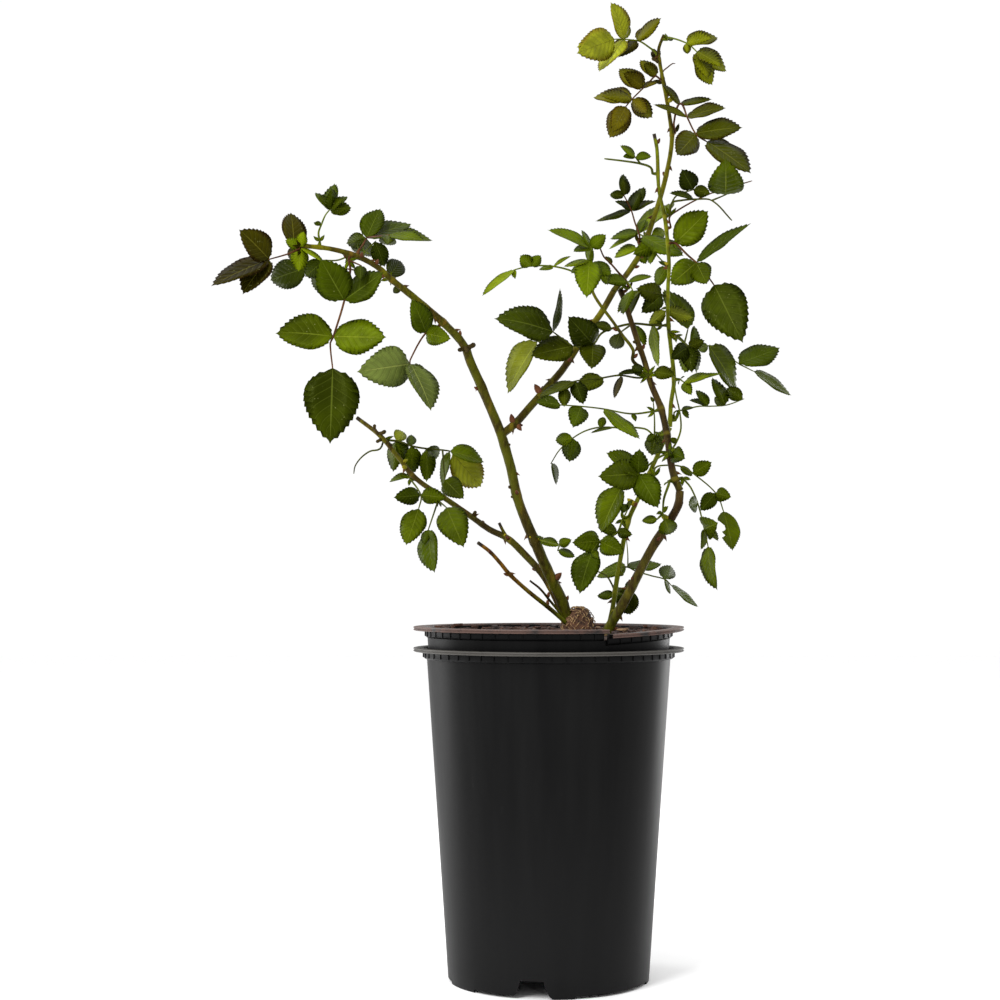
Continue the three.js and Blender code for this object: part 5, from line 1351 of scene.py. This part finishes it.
def build_mix():
    mix = crumb_material("mix_peat", (0.012, 0.007, 0.005), (0.07, 0.035, 0.022))
    chips = [
        crumb_material("chip_brown", (0.025, 0.01, 0.006), (0.1, 0.04, 0.02)),
        crumb_material("chip_dark", (0.012, 0.006, 0.005), (0.05, 0.02, 0.012)),
        crumb_material("chip_straw", (0.08, 0.04, 0.015), (0.22, 0.13, 0.06)),
    ]
    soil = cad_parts["potting_mix"].data.materials
    soil.clear()
    soil.append(mix)
    random = SeededRandom(MIX_SEED)
    heap = bmesh.new()
    for _ in range(CHIP_COUNT):
        chip = bmesh.new()
        bmesh.ops.create_cube(chip, size=1)
        for vert in chip.verts:
            vert.co *= 0.75 + 0.5 * random()
        length, width, depth = 3 + 7 * random() ** 2, 1.6 + 3 * random(), 1 + 1.4 * random()
        bmesh.ops.scale(chip, vec=Vector((length, width, depth)) * MM, verts=chip.verts)
        heading = Matrix.Rotation(math.tau * random(), 4, "Z")
        tilt = heading @ Matrix.Rotation(0.9 * (random() - 0.5), 4, "X")
        out, turn = MIX_REACH * math.sqrt(random()), math.tau * random()
        lift = SOIL_TOP + 0.4 + 3.2 * random() + (2.5 if out > BANK_START else 0) * random()
        spot = Vector((out * math.cos(turn), out * math.sin(turn), lift)) * MM
        bmesh.ops.transform(chip, matrix=Matrix.Translation(spot) @ tilt, verts=chip.verts)
        bmesh.ops.bevel(
            chip, geom=chip.edges[:], offset=0.3 * MM, affect="EDGES", segments=1, profile=0.5, material=-1,
        )
        give_material(chip.faces, 2 if random() > 0.93 else int(2 * random()))
        pour(chip, heap)
    piece("bark_chips", heap, chips, smooth=False)


def build_knob():
    """The lumpy knob at the graft, with straw fibres stuck on it."""
    fibre = crumb_material("knob_fibre", (0.014, 0.005, 0.002), (0.1, 0.04, 0.015))
    straw = crumb_material("knob_straw", (0.07, 0.03, 0.01), (0.42, 0.27, 0.12))
    centre = Vector(KNOB_CENTRE) * MM
    knob = bmesh.new()
    bmesh.ops.create_icosphere(knob, subdivisions=5, radius=1)
    for vert in knob.verts:
        lump = 0.95 + 0.12 * noise.noise(vert.co * 1.7) + 0.1 * noise.noise(vert.co * 5)
        lump += 0.07 * noise.noise(vert.co * 13)
        vert.co = Vector(vert.co[i] * KNOB_SIZE[i] * lump for i in range(3)) * MM + centre
    random = SeededRandom(KNOB_SEED)
    for _ in range(FIBRE_COUNT):
        height, turn = min(2 * random() - 0.7, 0.95), math.tau * random()
        level = math.sqrt(1 - height * height)
        way = Vector((level * math.cos(turn), level * math.sin(turn), height))
        spot = centre + Vector(way[j] * KNOB_SIZE[j] for j in range(3)) * MM
        run = way.cross(Vector((random() - 0.5, random() - 0.5, random() - 0.5))).normalized()
        reach = (1 + 2.2 * random()) * MM
        end = spot + run * reach + way * 0.5 * MM * random()
        strand = tube([spot - run * reach, spot + way * 0.7 * MM, end], [0.15 * MM, 0.3 * MM, 0.12 * MM], 4)
        give_material(strand.faces, 1)
        pour(strand, knob)
    piece("graft_knob_fibre", knob, [fibre, straw], ["graft_knob"])


# Canes


def place_on(limb, at):
    """The place on a limb that looks nearest to at, how the limb runs there, and how far along it is."""
    route, widths = CANES[limb]["route"], CANES[limb]["widths"]
    nearest = None
    for i in range(len(route) - 1):
        share = 0.0
        while share <= 1:
            place = [lerp(a, b, share) for a, b in zip(route[i], route[i + 1])]
            distance = math.hypot(place[0] - at[0], place[1] - at[1])
            if nearest is None or distance < nearest[0]:
                nearest = (distance, place, i, i + share)
            share += 0.05
    _, place, i, reached = nearest
    along = reached / (len(route) - 1)
    run = (Vector(route[i + 1]) - Vector(route[i])).normalized()
    return {"place": place, "run": run, "radius": lerp(*widths, along) / 2, "along": along}


# How far from foot to tip the colour of a cane's bark has come, where it isn't all the way
BARK_AGE = {
    "left_cane": (0.0, 0.3), "left_cane_upper": (0.25, 0.85), "low_left_cane": (0.1, 0.6),
    "cut_thin_cane": (0.0, 1.2), "middle_cane_upper": (0.4, 1.1), "straight_cane_lower": (0.4, 0.8),
    "straight_cane_upper": (0.6, 0.95), "right_cane_lower": (0.0, 1.1), "right_cane_upper": (0.6, 1.0),
    "forward_twig": (0.3, 0.6), "middle_cane_lower": (0.15, 0.9),
}
CUT_CANES = {"cut_thin_cane", "dead_twig", "low_left_stub", "straight_cane_upper", "low_left_cane"}


def cane_line(name):
    return smooth_route([seen(place) for place in CANES[name]["route"]], CANE_STEP * MM)


def spot_on(points, share):
    """The point of a cane's line nearest to a share of it, and the way the line runs there."""
    at = min(range(1, len(points) - 1), key=lambda j: abs(points[j][0] - share))
    return points[at][1], (points[at + 1][1] - points[at - 1][1]).normalized()


def side_of(run, turn):
    """The way out of a cane at its right, turned round the cane."""
    side = run.cross(Vector((0, -1, 0))).normalized()
    side.rotate(Matrix.Rotation(turn, 3, run))
    return side


def length_of(name):
    route = [Vector(place) for place in CANES[name]["route"]]
    return sum((b - a).length for a, b in zip(route, route[1:]))


def nodes_of(name):
    """How far along a cane its nodes are: those its sprays stand on, and bare ones in the gaps between."""
    leafy = [place_on(name, spray["at"])["along"] for spray in SPRAYS.values() if spray["on"] == name]
    bare = []
    spacing = BARE_NODE_SPACING / length_of(name)
    tick = spacing * 0.6
    while tick < 0.95:
        if all(abs(tick - node) > spacing * 0.4 for node in leafy + bare):
            bare.append(tick)
        tick += spacing
    return leafy, bare


def swelling_at(share, leafy, bare, length):
    """How much a cane swells at a share of its length, from 0 between its nodes to 1 at a leafy one."""
    def rise(nodes):
        return max((math.exp(-(((share - node) * length / NODE_REACH) ** 2)) for node in nodes), default=0)

    return max(rise(leafy), rise(bare) * BARE_NODE_RISE)


def cane_tube(name):
    """A cane with its swollen nodes and its ridges."""
    points = cane_line(name)
    length = length_of(name)
    leafy, bare = nodes_of(name)
    swellings = [swelling_at(share, leafy, bare, length) for share, _ in points]
    radii = [
        lerp(*CANES[name]["widths"], share) / 2 * MM * (1 + NODE_SWELL * swelling)
        for (share, _), swelling in zip(points, swellings)
    ]
    bm = tube([point for _, point in points], radii, CANE_SIDES)
    node = bm.verts.layers.float.new("node")
    cut = bm.verts.layers.float.new("cut")
    along = bm.verts.layers.float["along"]
    for vert in bm.verts:
        ring = round(vert[along] * (len(points) - 1))
        outward = vert.co - points[ring][1]
        facing = noise.noise(vert.co * 60) + 0.4
        vert[node] = swellings[ring] * min(1, max(0, 0.5 + facing))
        course = outward.normalized() * 1.4 + Vector((0, 0, vert[along] * length * RIDGE_TURNS))
        vert[along] = lerp(*BARK_AGE.get(name, (0, 1)), vert[along])
        vert[cut] = 1.0 if name in CUT_CANES and ring > len(points) - CUT_RINGS else 0.0
        ridge = noise.noise(course) * RIDGE_DEPTH + noise.noise(vert.co * 420) * GRAIN_DEPTH
        vert.co += outward * (ridge * (1 + swellings[ring]))
    return bm


def prickle_routes(name, seed):
    """Prickles stand out of a cane on alternate sides, a little unevenly, and bend down."""
    cane = CANES[name]
    random = SeededRandom(seed)
    points = cane_line(name)
    for i in range(cane["prickles"]):
        along = 0.08 + 0.84 * (i + 0.6 * random()) / cane["prickles"]
        foot, run = spot_on(points, along)
        sideways = side_of(run, math.pi * (i % 2) + 1.2 * (random() - 0.5))
        radius = lerp(*cane["widths"], along) / 2
        reach = radius + PRICKLE_LENGTH * PRICKLE_SHARE * (0.6 + 0.4 * random())
        yield foot, sideways, run, radius * MM, reach * MM


def prickle_solid(foot, sideways, run, radius, reach):
    """A flat thorn with a long foot along its cane, bent down to its point."""
    shares = (0, 0.25, 0.5, 0.75, 1)
    length = reach - radius * 0.6
    centres = [
        foot + sideways * (radius * 0.6 + length * share) - run * (PRICKLE_BEND * MM * share ** 2)
        for share in shares
    ]
    widths = [PRICKLE_WIDTH * MM * (1 - share) ** 1.3 + 0.05 * MM for share in shares]
    thorn = tube(centres, widths, 8, first_side=run, oval=(1.25, 0.45))
    give_material(thorn.faces, 1)
    return thorn


# Growths on a cane: a pointed bud, or the blunt stub that a broken twig or a dropped leaf leaves
BUD_SHAPE = dict(shares=(0, 0.3, 0.6, 0.85, 1), bulge=(0.7, 1, 0.85, 0.45, 0.05), stout=0.32)
STUB_SHAPE = dict(shares=(0, 0.4, 0.8, 1), bulge=(1.25, 0.9, 1, 0.55), stout=0.3)
GROWTHS = {"red": (BUD_SHAPE, 2), "yellow": (BUD_SHAPE, 3), "stub": (STUB_SHAPE, 4)}


def growth_solid(kind, foot, way, length):
    shape, material = GROWTHS[kind]
    centres = [foot + way * length * share for share in shape["shares"]]
    growth = tube(centres, [shape["stout"] * length * size for size in shape["bulge"]], 8)
    give_material(growth.faces, material)
    return growth


def marks_of(name):
    """The buds, bracts and stubs that show on a cane in their own places."""
    for kind, at, way, length in CANE_MARKS.get(name, ()):
        onward = Vector(way).normalized()
        foot = seen(place_on(name, at)["place"]) + onward * 1.2 * MM
        yield growth_solid(kind, foot, onward, length * MM)


def buds_of(name):
    """Buds stand at the bare nodes of a cane, each turned on from the last."""
    points = cane_line(name)
    for i, share in enumerate(nodes_of(name)[1]):
        middle, run = spot_on(points, share)
        side = side_of(run, BUD_TURN * i)
        foot = middle + side * (lerp(*CANES[name]["widths"], share) / 2 * MM) * 0.8
        yield growth_solid("red", foot, (side + run * 1.3).normalized(), BUD_LENGTH * MM)


def build_canes():
    """Each cane is a piece of its own, and the trees of their faces are what leaflets keep off."""
    trees = {}
    for index, name in enumerate(CANES):
        bm = cane_tube(name)
        trees[name] = BVHTree.FromBMesh(bm)
        for route in prickle_routes(name, PRICKLE_SEED + index):
            pour(prickle_solid(*route), bm)
        for growth in [*buds_of(name), *marks_of(name)]:
            pour(growth, bm)
        bark = CANES[name]["bark"]
        materials = [BARKS[BARK_SHOWN.get(name, bark)], PRICKLE_RED, BUD_RED, BUD_YELLOW, STUB_BROWN]
        piece(name + "_bark", bm, materials, [name])
    return trees


# Leaflets


def leaflet_outline(share):
    """Half the breadth of a leaflet at a share of its length: an oval with a small tip."""
    body = min(share / 0.965, 1)
    oval = 2.894 * body ** 0.66 * (1 - body) ** 0.9
    tip = 1.3 * (1 - share) if share > 0.9 else 0
    return max(oval, tip)


def eat_out(bm, place, size):
    """Takes a round piece out of a leaflet's margin, as an insect does."""
    def off_centre(point):
        return Vector(((point.x - place[0]) / size[0], (point.y - place[1]) / size[1]))

    eaten = [face for face in bm.faces if off_centre(face.calc_center_median()).length < 1]
    bmesh.ops.delete(bm, geom=eaten, context="FACES")
    for vert in bm.verts:
        way = off_centre(vert.co)
        if way.length < 1:
            edge = way.normalized()
            vert.co.xy = place[0] + edge.x * size[0], place[1] + edge.y * size[1]


def leaflet_template(lengthwise, across, fold, curl, twist, wave, bite=None):
    """A leaflet one unit long and two broad with teeth that point to its tip, folded, bent and twisted."""
    bm = bmesh.new()
    bm.loops.layers.uv.new("leaf")
    bmesh.ops.create_grid(bm, x_segments=lengthwise, y_segments=across, size=1, calc_uvs=True)
    for vert in bm.verts:
        share, side = (vert.co.x + 1) / 2, vert.co.y
        half = leaflet_outline(min(max(share, 0), 1))
        breadth = side * half
        tooth = False
        if abs(side) > 0.99 and half > 0.1:
            tooth = round(share * lengthwise) % 2 == 1
            notch = TOOTH_DEPTH * min(1, COARSEST_TEETH / lengthwise) * min(1, half * 1.6)
            breadth += side * notch * (0.5 if tooth else -1.5)
        lift = fold * abs(breadth) ** 1.4 - curl * max(share - 0.3, 0) ** 2
        lift += twist * breadth * (share - 0.4)
        lift += wave * math.sin(share * 11 + side) * abs(breadth) ** 2
        vert.co = Vector((share + (TOOTH_LEAN / lengthwise if tooth else 0), breadth, lift))
    if bite:
        eat_out(bm, *bite)
    inner = [vert for vert in bm.verts if not vert.is_boundary]
    copied = bmesh.ops.duplicate(bm, geom=bm.faces[:])["geom"]
    lower = parts_of_kind(bmesh.types.BMFace, copied)
    bmesh.ops.reverse_faces(bm, faces=lower)
    give_material(lower, 1)
    bmesh.ops.translate(bm, vec=(0, 0, LEAFLET_SWELL), verts=inner)
    bmesh.ops.remove_doubles(bm, verts=bm.verts, dist=0.001)
    return bm


LARGE_TEMPLATES = [
    leaflet_template(28, 4, *bends)
    for bends in (
        (0.14, 0.25, 0.1, 0.05), (0.26, 0.5, -0.15, 0.04), (0.08, -0.2, 0.2, 0.07), (0.34, 0.35, 0.0, 0.03),
        (0.2, 0.7, 0.15, 0.06),
    )
]
SMALL_TEMPLATES = [
    leaflet_template(20, 2, *bends)
    for bends in ((0.16, 0.25, 0.1, 0), (0.34, 0.5, -0.1, 0), (0.08, -0.15, 0.15, 0), (0.24, 0.4, 0, 0))
]
TINY_TEMPLATES = [leaflet_template(12, 2, *bends) for bends in ((0.3, 0.3, 0.1, 0), (0.5, 0.5, 0, 0))]
BITTEN_TEMPLATE = leaflet_template(40, 16, 0.14, 0.25, 0.1, 0.05, (BITE_PLACE, BITE_SIZE))


def leaflet_place(base, size, slope, random, swing):
    """How a leaflet lies, by the source's rule: its matrix, root and length."""
    across, up, width = size
    looks_long = math.hypot(across, up)
    whole = max(looks_long, width / LEAFLET_RATIO)
    towards = -1 if slope < 0 else 1
    back = towards * math.sqrt(whole ** 2 - looks_long ** 2) + slope * looks_long * 0.6
    root = seen(base)
    onward = seen((base[0] + across, base[1] + up, base[2] + back)) - root
    length = onward.length
    onward.normalize()
    if swing:
        onward = (onward + Vector((0, math.sin(swing), 0))).normalized()
    facing = (EYE - root).normalized()
    facing = (facing - onward * facing.dot(onward)).normalized()
    sideways = onward.cross(facing)
    roll = min(math.acos(min(1, width / (LEAFLET_RATIO * whole))), STEEPEST_ROLL)
    upper = math.copysign(1, sideways.z) if abs(sideways.z) > 0.25 else math.copysign(1, random() - 0.5)
    normal = facing * math.cos(roll) + sideways * (upper * math.sin(roll))
    outward = normal.cross(onward).normalized()
    random()
    half = width / 2 / math.cos(roll) * MM
    turned = Matrix((onward * length, outward * half, normal * half)).transposed().to_4x4()
    return Matrix.Translation(root) @ turned, root, length


def grown_leaflet(placed, pick, bitten):
    """One leaflet's mesh in its place, and the tree of its faces."""
    matrix, root, length = placed
    templates = LARGE_TEMPLATES if length > LARGE_LEAFLET * MM else SMALL_TEMPLATES
    if length < TINY_LEAFLET * MM:
        templates = TINY_TEMPLATES
    template = BITTEN_TEMPLATE if bitten else templates[int(pick * len(templates)) % len(templates)]
    leaflet = template.copy()
    bmesh.ops.transform(leaflet, matrix=matrix, verts=leaflet.verts)
    return leaflet, BVHTree.FromBMesh(leaflet)


# Stalks and sprays


def joints_of(start, steps, back):
    """The joints of a stalk: its steps add up, and its depth grows evenly along them."""
    lengths = [math.hypot(across, up) for across, up in steps]
    total = sum(lengths)
    joints = [tuple(start)]
    for (across, up), length in zip(steps, lengths):
        last = joints[-1]
        joints.append((last[0] + across, last[1] + up, last[2] + back * length / total))
    return joints, back / total


def root_of(joints, joint):
    """A leaflet is rooted inside its stalk, just before the joint that it belongs to."""
    if joint == 0:
        return joints[0]
    before, at = Vector(joints[joint - 1]), Vector(joints[joint])
    return tuple(at.lerp(before, min(0.5, ROOT_SHIFT / (at - before).length)))


def spur_end(foot, spray):
    """Where the spur that a spray's stalks share ends, clear of its limb."""
    step = spray["stalks"][0]["steps"][0]
    way = Vector(spray.get("spur", (step[0], step[1], 0)))
    at_tip = foot["along"] > 0.99
    if not at_tip:
        way -= foot["run"] * way.dot(foot["run"])
    way = way.normalized() * (SPUR_LENGTH if at_tip else foot["radius"] + SPUR_LENGTH)
    return tuple(Vector(foot["place"]) + way)


class Spray:
    """One mass of leaves under way: what it has grown, and what it keeps off."""

    def __init__(self, table, shown, index, canes, neighbours):
        self.table = table
        self.tone = table["tone"]
        self.shown = shown
        self.own_limb = canes[table["on"]]
        self.others = [tree for cane, tree in canes.items() if cane != table["on"]]
        self.neighbours = neighbours
        foot = place_on(table["on"], table["at"])
        self.start = tuple(foot["place"])
        self.spur = spur_end(foot, table)
        self.random = SeededRandom(SPRAY_SEED + index)
        self.spare = SeededRandom(SPARE_SEED + index)
        self.leaflets = []
        self.leaves = bmesh.new()
        self.stalks = bmesh.new()

    def grow(self):
        self.add_stalk([seen(self.start), seen(self.spur)], SPUR_WIDTH, SPUR_WIDTH * 0.8)
        for stalk in self.table["stalks"]:
            self.grow_stalk(stalk, self.start)

    def add_stalk(self, places, foot_width, tip_width):
        points = smooth_route(places, STALK_STEP * MM)
        radii = [lerp(foot_width, tip_width, share) / 2 * MM for share, _ in points]
        radii[-1] *= 0.7
        pour(tube([point for _, point in points], radii, STALK_SIDES), self.stalks)

    def grow_stalk(self, stalk, start, scale=1.0, thick=STALK_WIDTH):
        joints, slope = joints_of(start, stalk["steps"], stalk.get("back", 0))
        if start == self.start:
            joints[0] = self.spur
        thick = stalk.get("thick", thick)
        self.add_stalk([seen(joint) for joint in joints], thick, thick * STALK_TAPER)
        if start == self.start and stalk.get("leaflets"):
            self.add_stipules(seen(joints[0]), seen(joints[1]))
        lean = max(-STEEPEST_LEAN, min(STEEPEST_LEAN, slope))
        for leaflet in stalk.get("leaflets", ()):
            self.grow_leaflet(leaflet, joints, lean, scale)
        for side in stalk.get("stalks", ()):
            self.grow_stalk(side, joints[side["joint"]], scale, thick * 0.8)
        if "twin" in stalk and scale == 1:
            twin = {**stalk, "back": stalk["twin"]}
            self.grow_stalk(twin, start, TWIN_SCALE, thick)

    def add_stipules(self, root, onto):
        """The two narrow wings at the foot of a leaf stalk."""
        run = (onto - root).normalized()
        side = run.cross(EYE - root).normalized()
        normal = side.cross(run)
        for way in (-0.5, 0.5):
            onward = (run + side * way).normalized()
            outward = normal.cross(onward)
            half = STIPULE_WIDTH / 2 * MM
            size = Matrix.Diagonal((STIPULE_LENGTH * MM, half, half))
            turned = Matrix((onward, outward, normal)).transposed() @ size
            wing = TINY_TEMPLATES[0].copy()
            bmesh.ops.transform(wing, matrix=Matrix.Translation(root) @ turned.to_4x4(), verts=wing.verts)
            self.colour(wing, "bronze" if self.tone == "young" else "fresh")
            pour(wing, self.leaves)

    def grow_leaflet(self, leaflet, joints, lean, scale):
        joint, across, up, width = leaflet[:4]
        in_source = max(math.hypot(across, up), width) >= SHORTEST_LEAFLET
        if scale < 1 and width < NARROWEST_TWIN:
            in_source = False
        random = self.random if in_source else self.spare
        size = [value * scale for value in (across, up, width)]
        tilt = lean + 0.3 * (random() - 0.5)
        base = root_of(joints, joint)
        candidates = [leaflet_place(base, size, tilt, random, swing) for swing in SWINGS]
        pick = self.spare()
        near_limb = (seen(joints[joint]) - seen(self.start)).length < OWN_LIMB_REACH * MM
        limbs = self.others if near_limb else [*self.others, self.own_limb]
        fallback = None
        for candidate in candidates:
            grown, tree = grown_leaflet(candidate, pick, len(leaflet) > 5)
            root, reach = candidate[1], candidate[2]
            if any(tree.overlap(limb) for limb in limbs) or self.meets(self.neighbours, tree, root, reach):
                grown.free()
                continue
            if not self.meets(self.leaflets, tree, root, reach):
                if fallback:
                    fallback[0].free()
                self.keep(grown, tree, root, reach, leaflet)
                return
            if fallback is None:
                fallback = (grown, tree, root, reach)
            else:
                grown.free()
        if fallback and scale == 1:
            self.keep(*fallback, leaflet)
        elif fallback:
            fallback[0].free()

    def meets(self, leaflets, tree, root, reach):
        """Whether a leaflet would touch any of those that are rooted elsewhere."""
        for other_tree, other_root, other_reach in leaflets:
            apart = (other_root - root).length
            if NEIGHBOUR_REACH * MM < apart < reach + other_reach and tree.overlap(other_tree):
                return True
        return False

    def colour(self, leaf, tone):
        shades = LEAF_UPPERS[tone]
        upper = LEAF_MATERIALS.index(shades[int(self.spare() * len(shades)) % len(shades)])
        lower = LEAF_MATERIALS.index(LEAF_UNDERSIDES[UNDERSIDE_OF_TONE.get(tone, tone)])
        for face in leaf.faces:
            face.material_index = lower if face.material_index else upper

    def keep(self, grown, tree, root, reach, leaflet):
        self.colour(grown, leaflet[4] if len(leaflet) > 4 else self.shown)
        pour(grown, self.leaves)
        self.leaflets.append((tree, root, reach))


def build_sprays(canes):
    """Leaves and stalks of all sprays, joined by tone and apart by kind."""
    leaves = {tone: bmesh.new() for tone in SLOT_OF_TONE}
    stalks = {tone: bmesh.new() for tone in SLOT_OF_TONE}
    neighbours = []
    for index, (name, table) in enumerate([*SPRAYS.items(), *INNER_SPRAYS.items()]):
        spray = Spray(table, SHOWN_TONE.get(name, table["tone"]), index, canes, neighbours)
        spray.grow()
        neighbours.extend(spray.leaflets)
        pour(spray.leaves, leaves[spray.tone])
        pour(spray.stalks, stalks[STALK_SHOWN.get(name, spray.tone)])
    for tone, slot in SLOT_OF_TONE.items():
        names = [name for name, spray in SPRAYS.items() if spray["tone"] == tone]
        piece("leaves_" + tone, leaves[tone], LEAF_MATERIALS, names)
        piece("stalks_" + tone, stalks[tone], [STALK_TONES[tone]])


# The studio: a white floor under white air, a large lamp at the front and a strip on either side behind

FLOOR_REACH = 6
FLOOR_COLOUR = (0.97, 0.97, 0.97, 1)
AIR_COLOUR = (1, 1, 1, 1)
AIR_STRENGTH = 1.02
LAMPS = {
    "key_lamp": dict(place=(-1.0, -1.4, 1.7), aim=(0, 0, 0.45), size=(0.7, 1.5), power=44),
    "left_strip": dict(place=(-1.05, 0.56, 0.45), aim=(0, 0, 0.25), size=(0.35, 1.3), power=7),
    "right_strip": dict(place=(0.8, 1.0, 0.45), aim=(0, 0, 0.25), size=(0.3, 1.3), power=6),
}


def build_studio():
    floor = bmesh.new()
    bmesh.ops.create_grid(floor, x_segments=1, y_segments=1, size=FLOOR_REACH)
    paint = Paint("studio_floor", 0.6)
    paint.surface("Base Color", FLOOR_COLOUR)
    mesh = bpy.data.meshes.new("studio_floor")
    floor.to_mesh(mesh)
    floor.free()
    mesh.materials.append(paint.material)
    ground = bpy.data.objects.new("studio_floor", mesh)
    bpy.context.scene.collection.objects.link(ground)
    world = bpy.data.worlds.new("studio_air")
    world.use_nodes = True
    background = world.node_tree.nodes["Background"]
    background.inputs["Color"].default_value = AIR_COLOUR
    background.inputs["Strength"].default_value = AIR_STRENGTH
    bpy.context.scene.world = world
    bpy.context.scene.view_settings.view_transform = "Standard"


def add_lamp(name, place, aim, size, power):
    light = bpy.data.lights.new(name, "AREA")
    light.shape = "RECTANGLE"
    light.size, light.size_y = size
    light.energy = power
    lamp = bpy.data.objects.new(name, light)
    lamp.location = place
    lamp.rotation_euler = (Vector(aim) - Vector(place)).to_track_quat("-Z", "Y").to_euler()
    bpy.context.scene.collection.objects.link(lamp)


build_pots()
build_mix()
build_knob()
build_sprays(build_canes())
build_studio()
for lamp_name, lamp_table in LAMPS.items():
    add_lamp(lamp_name, **lamp_table)
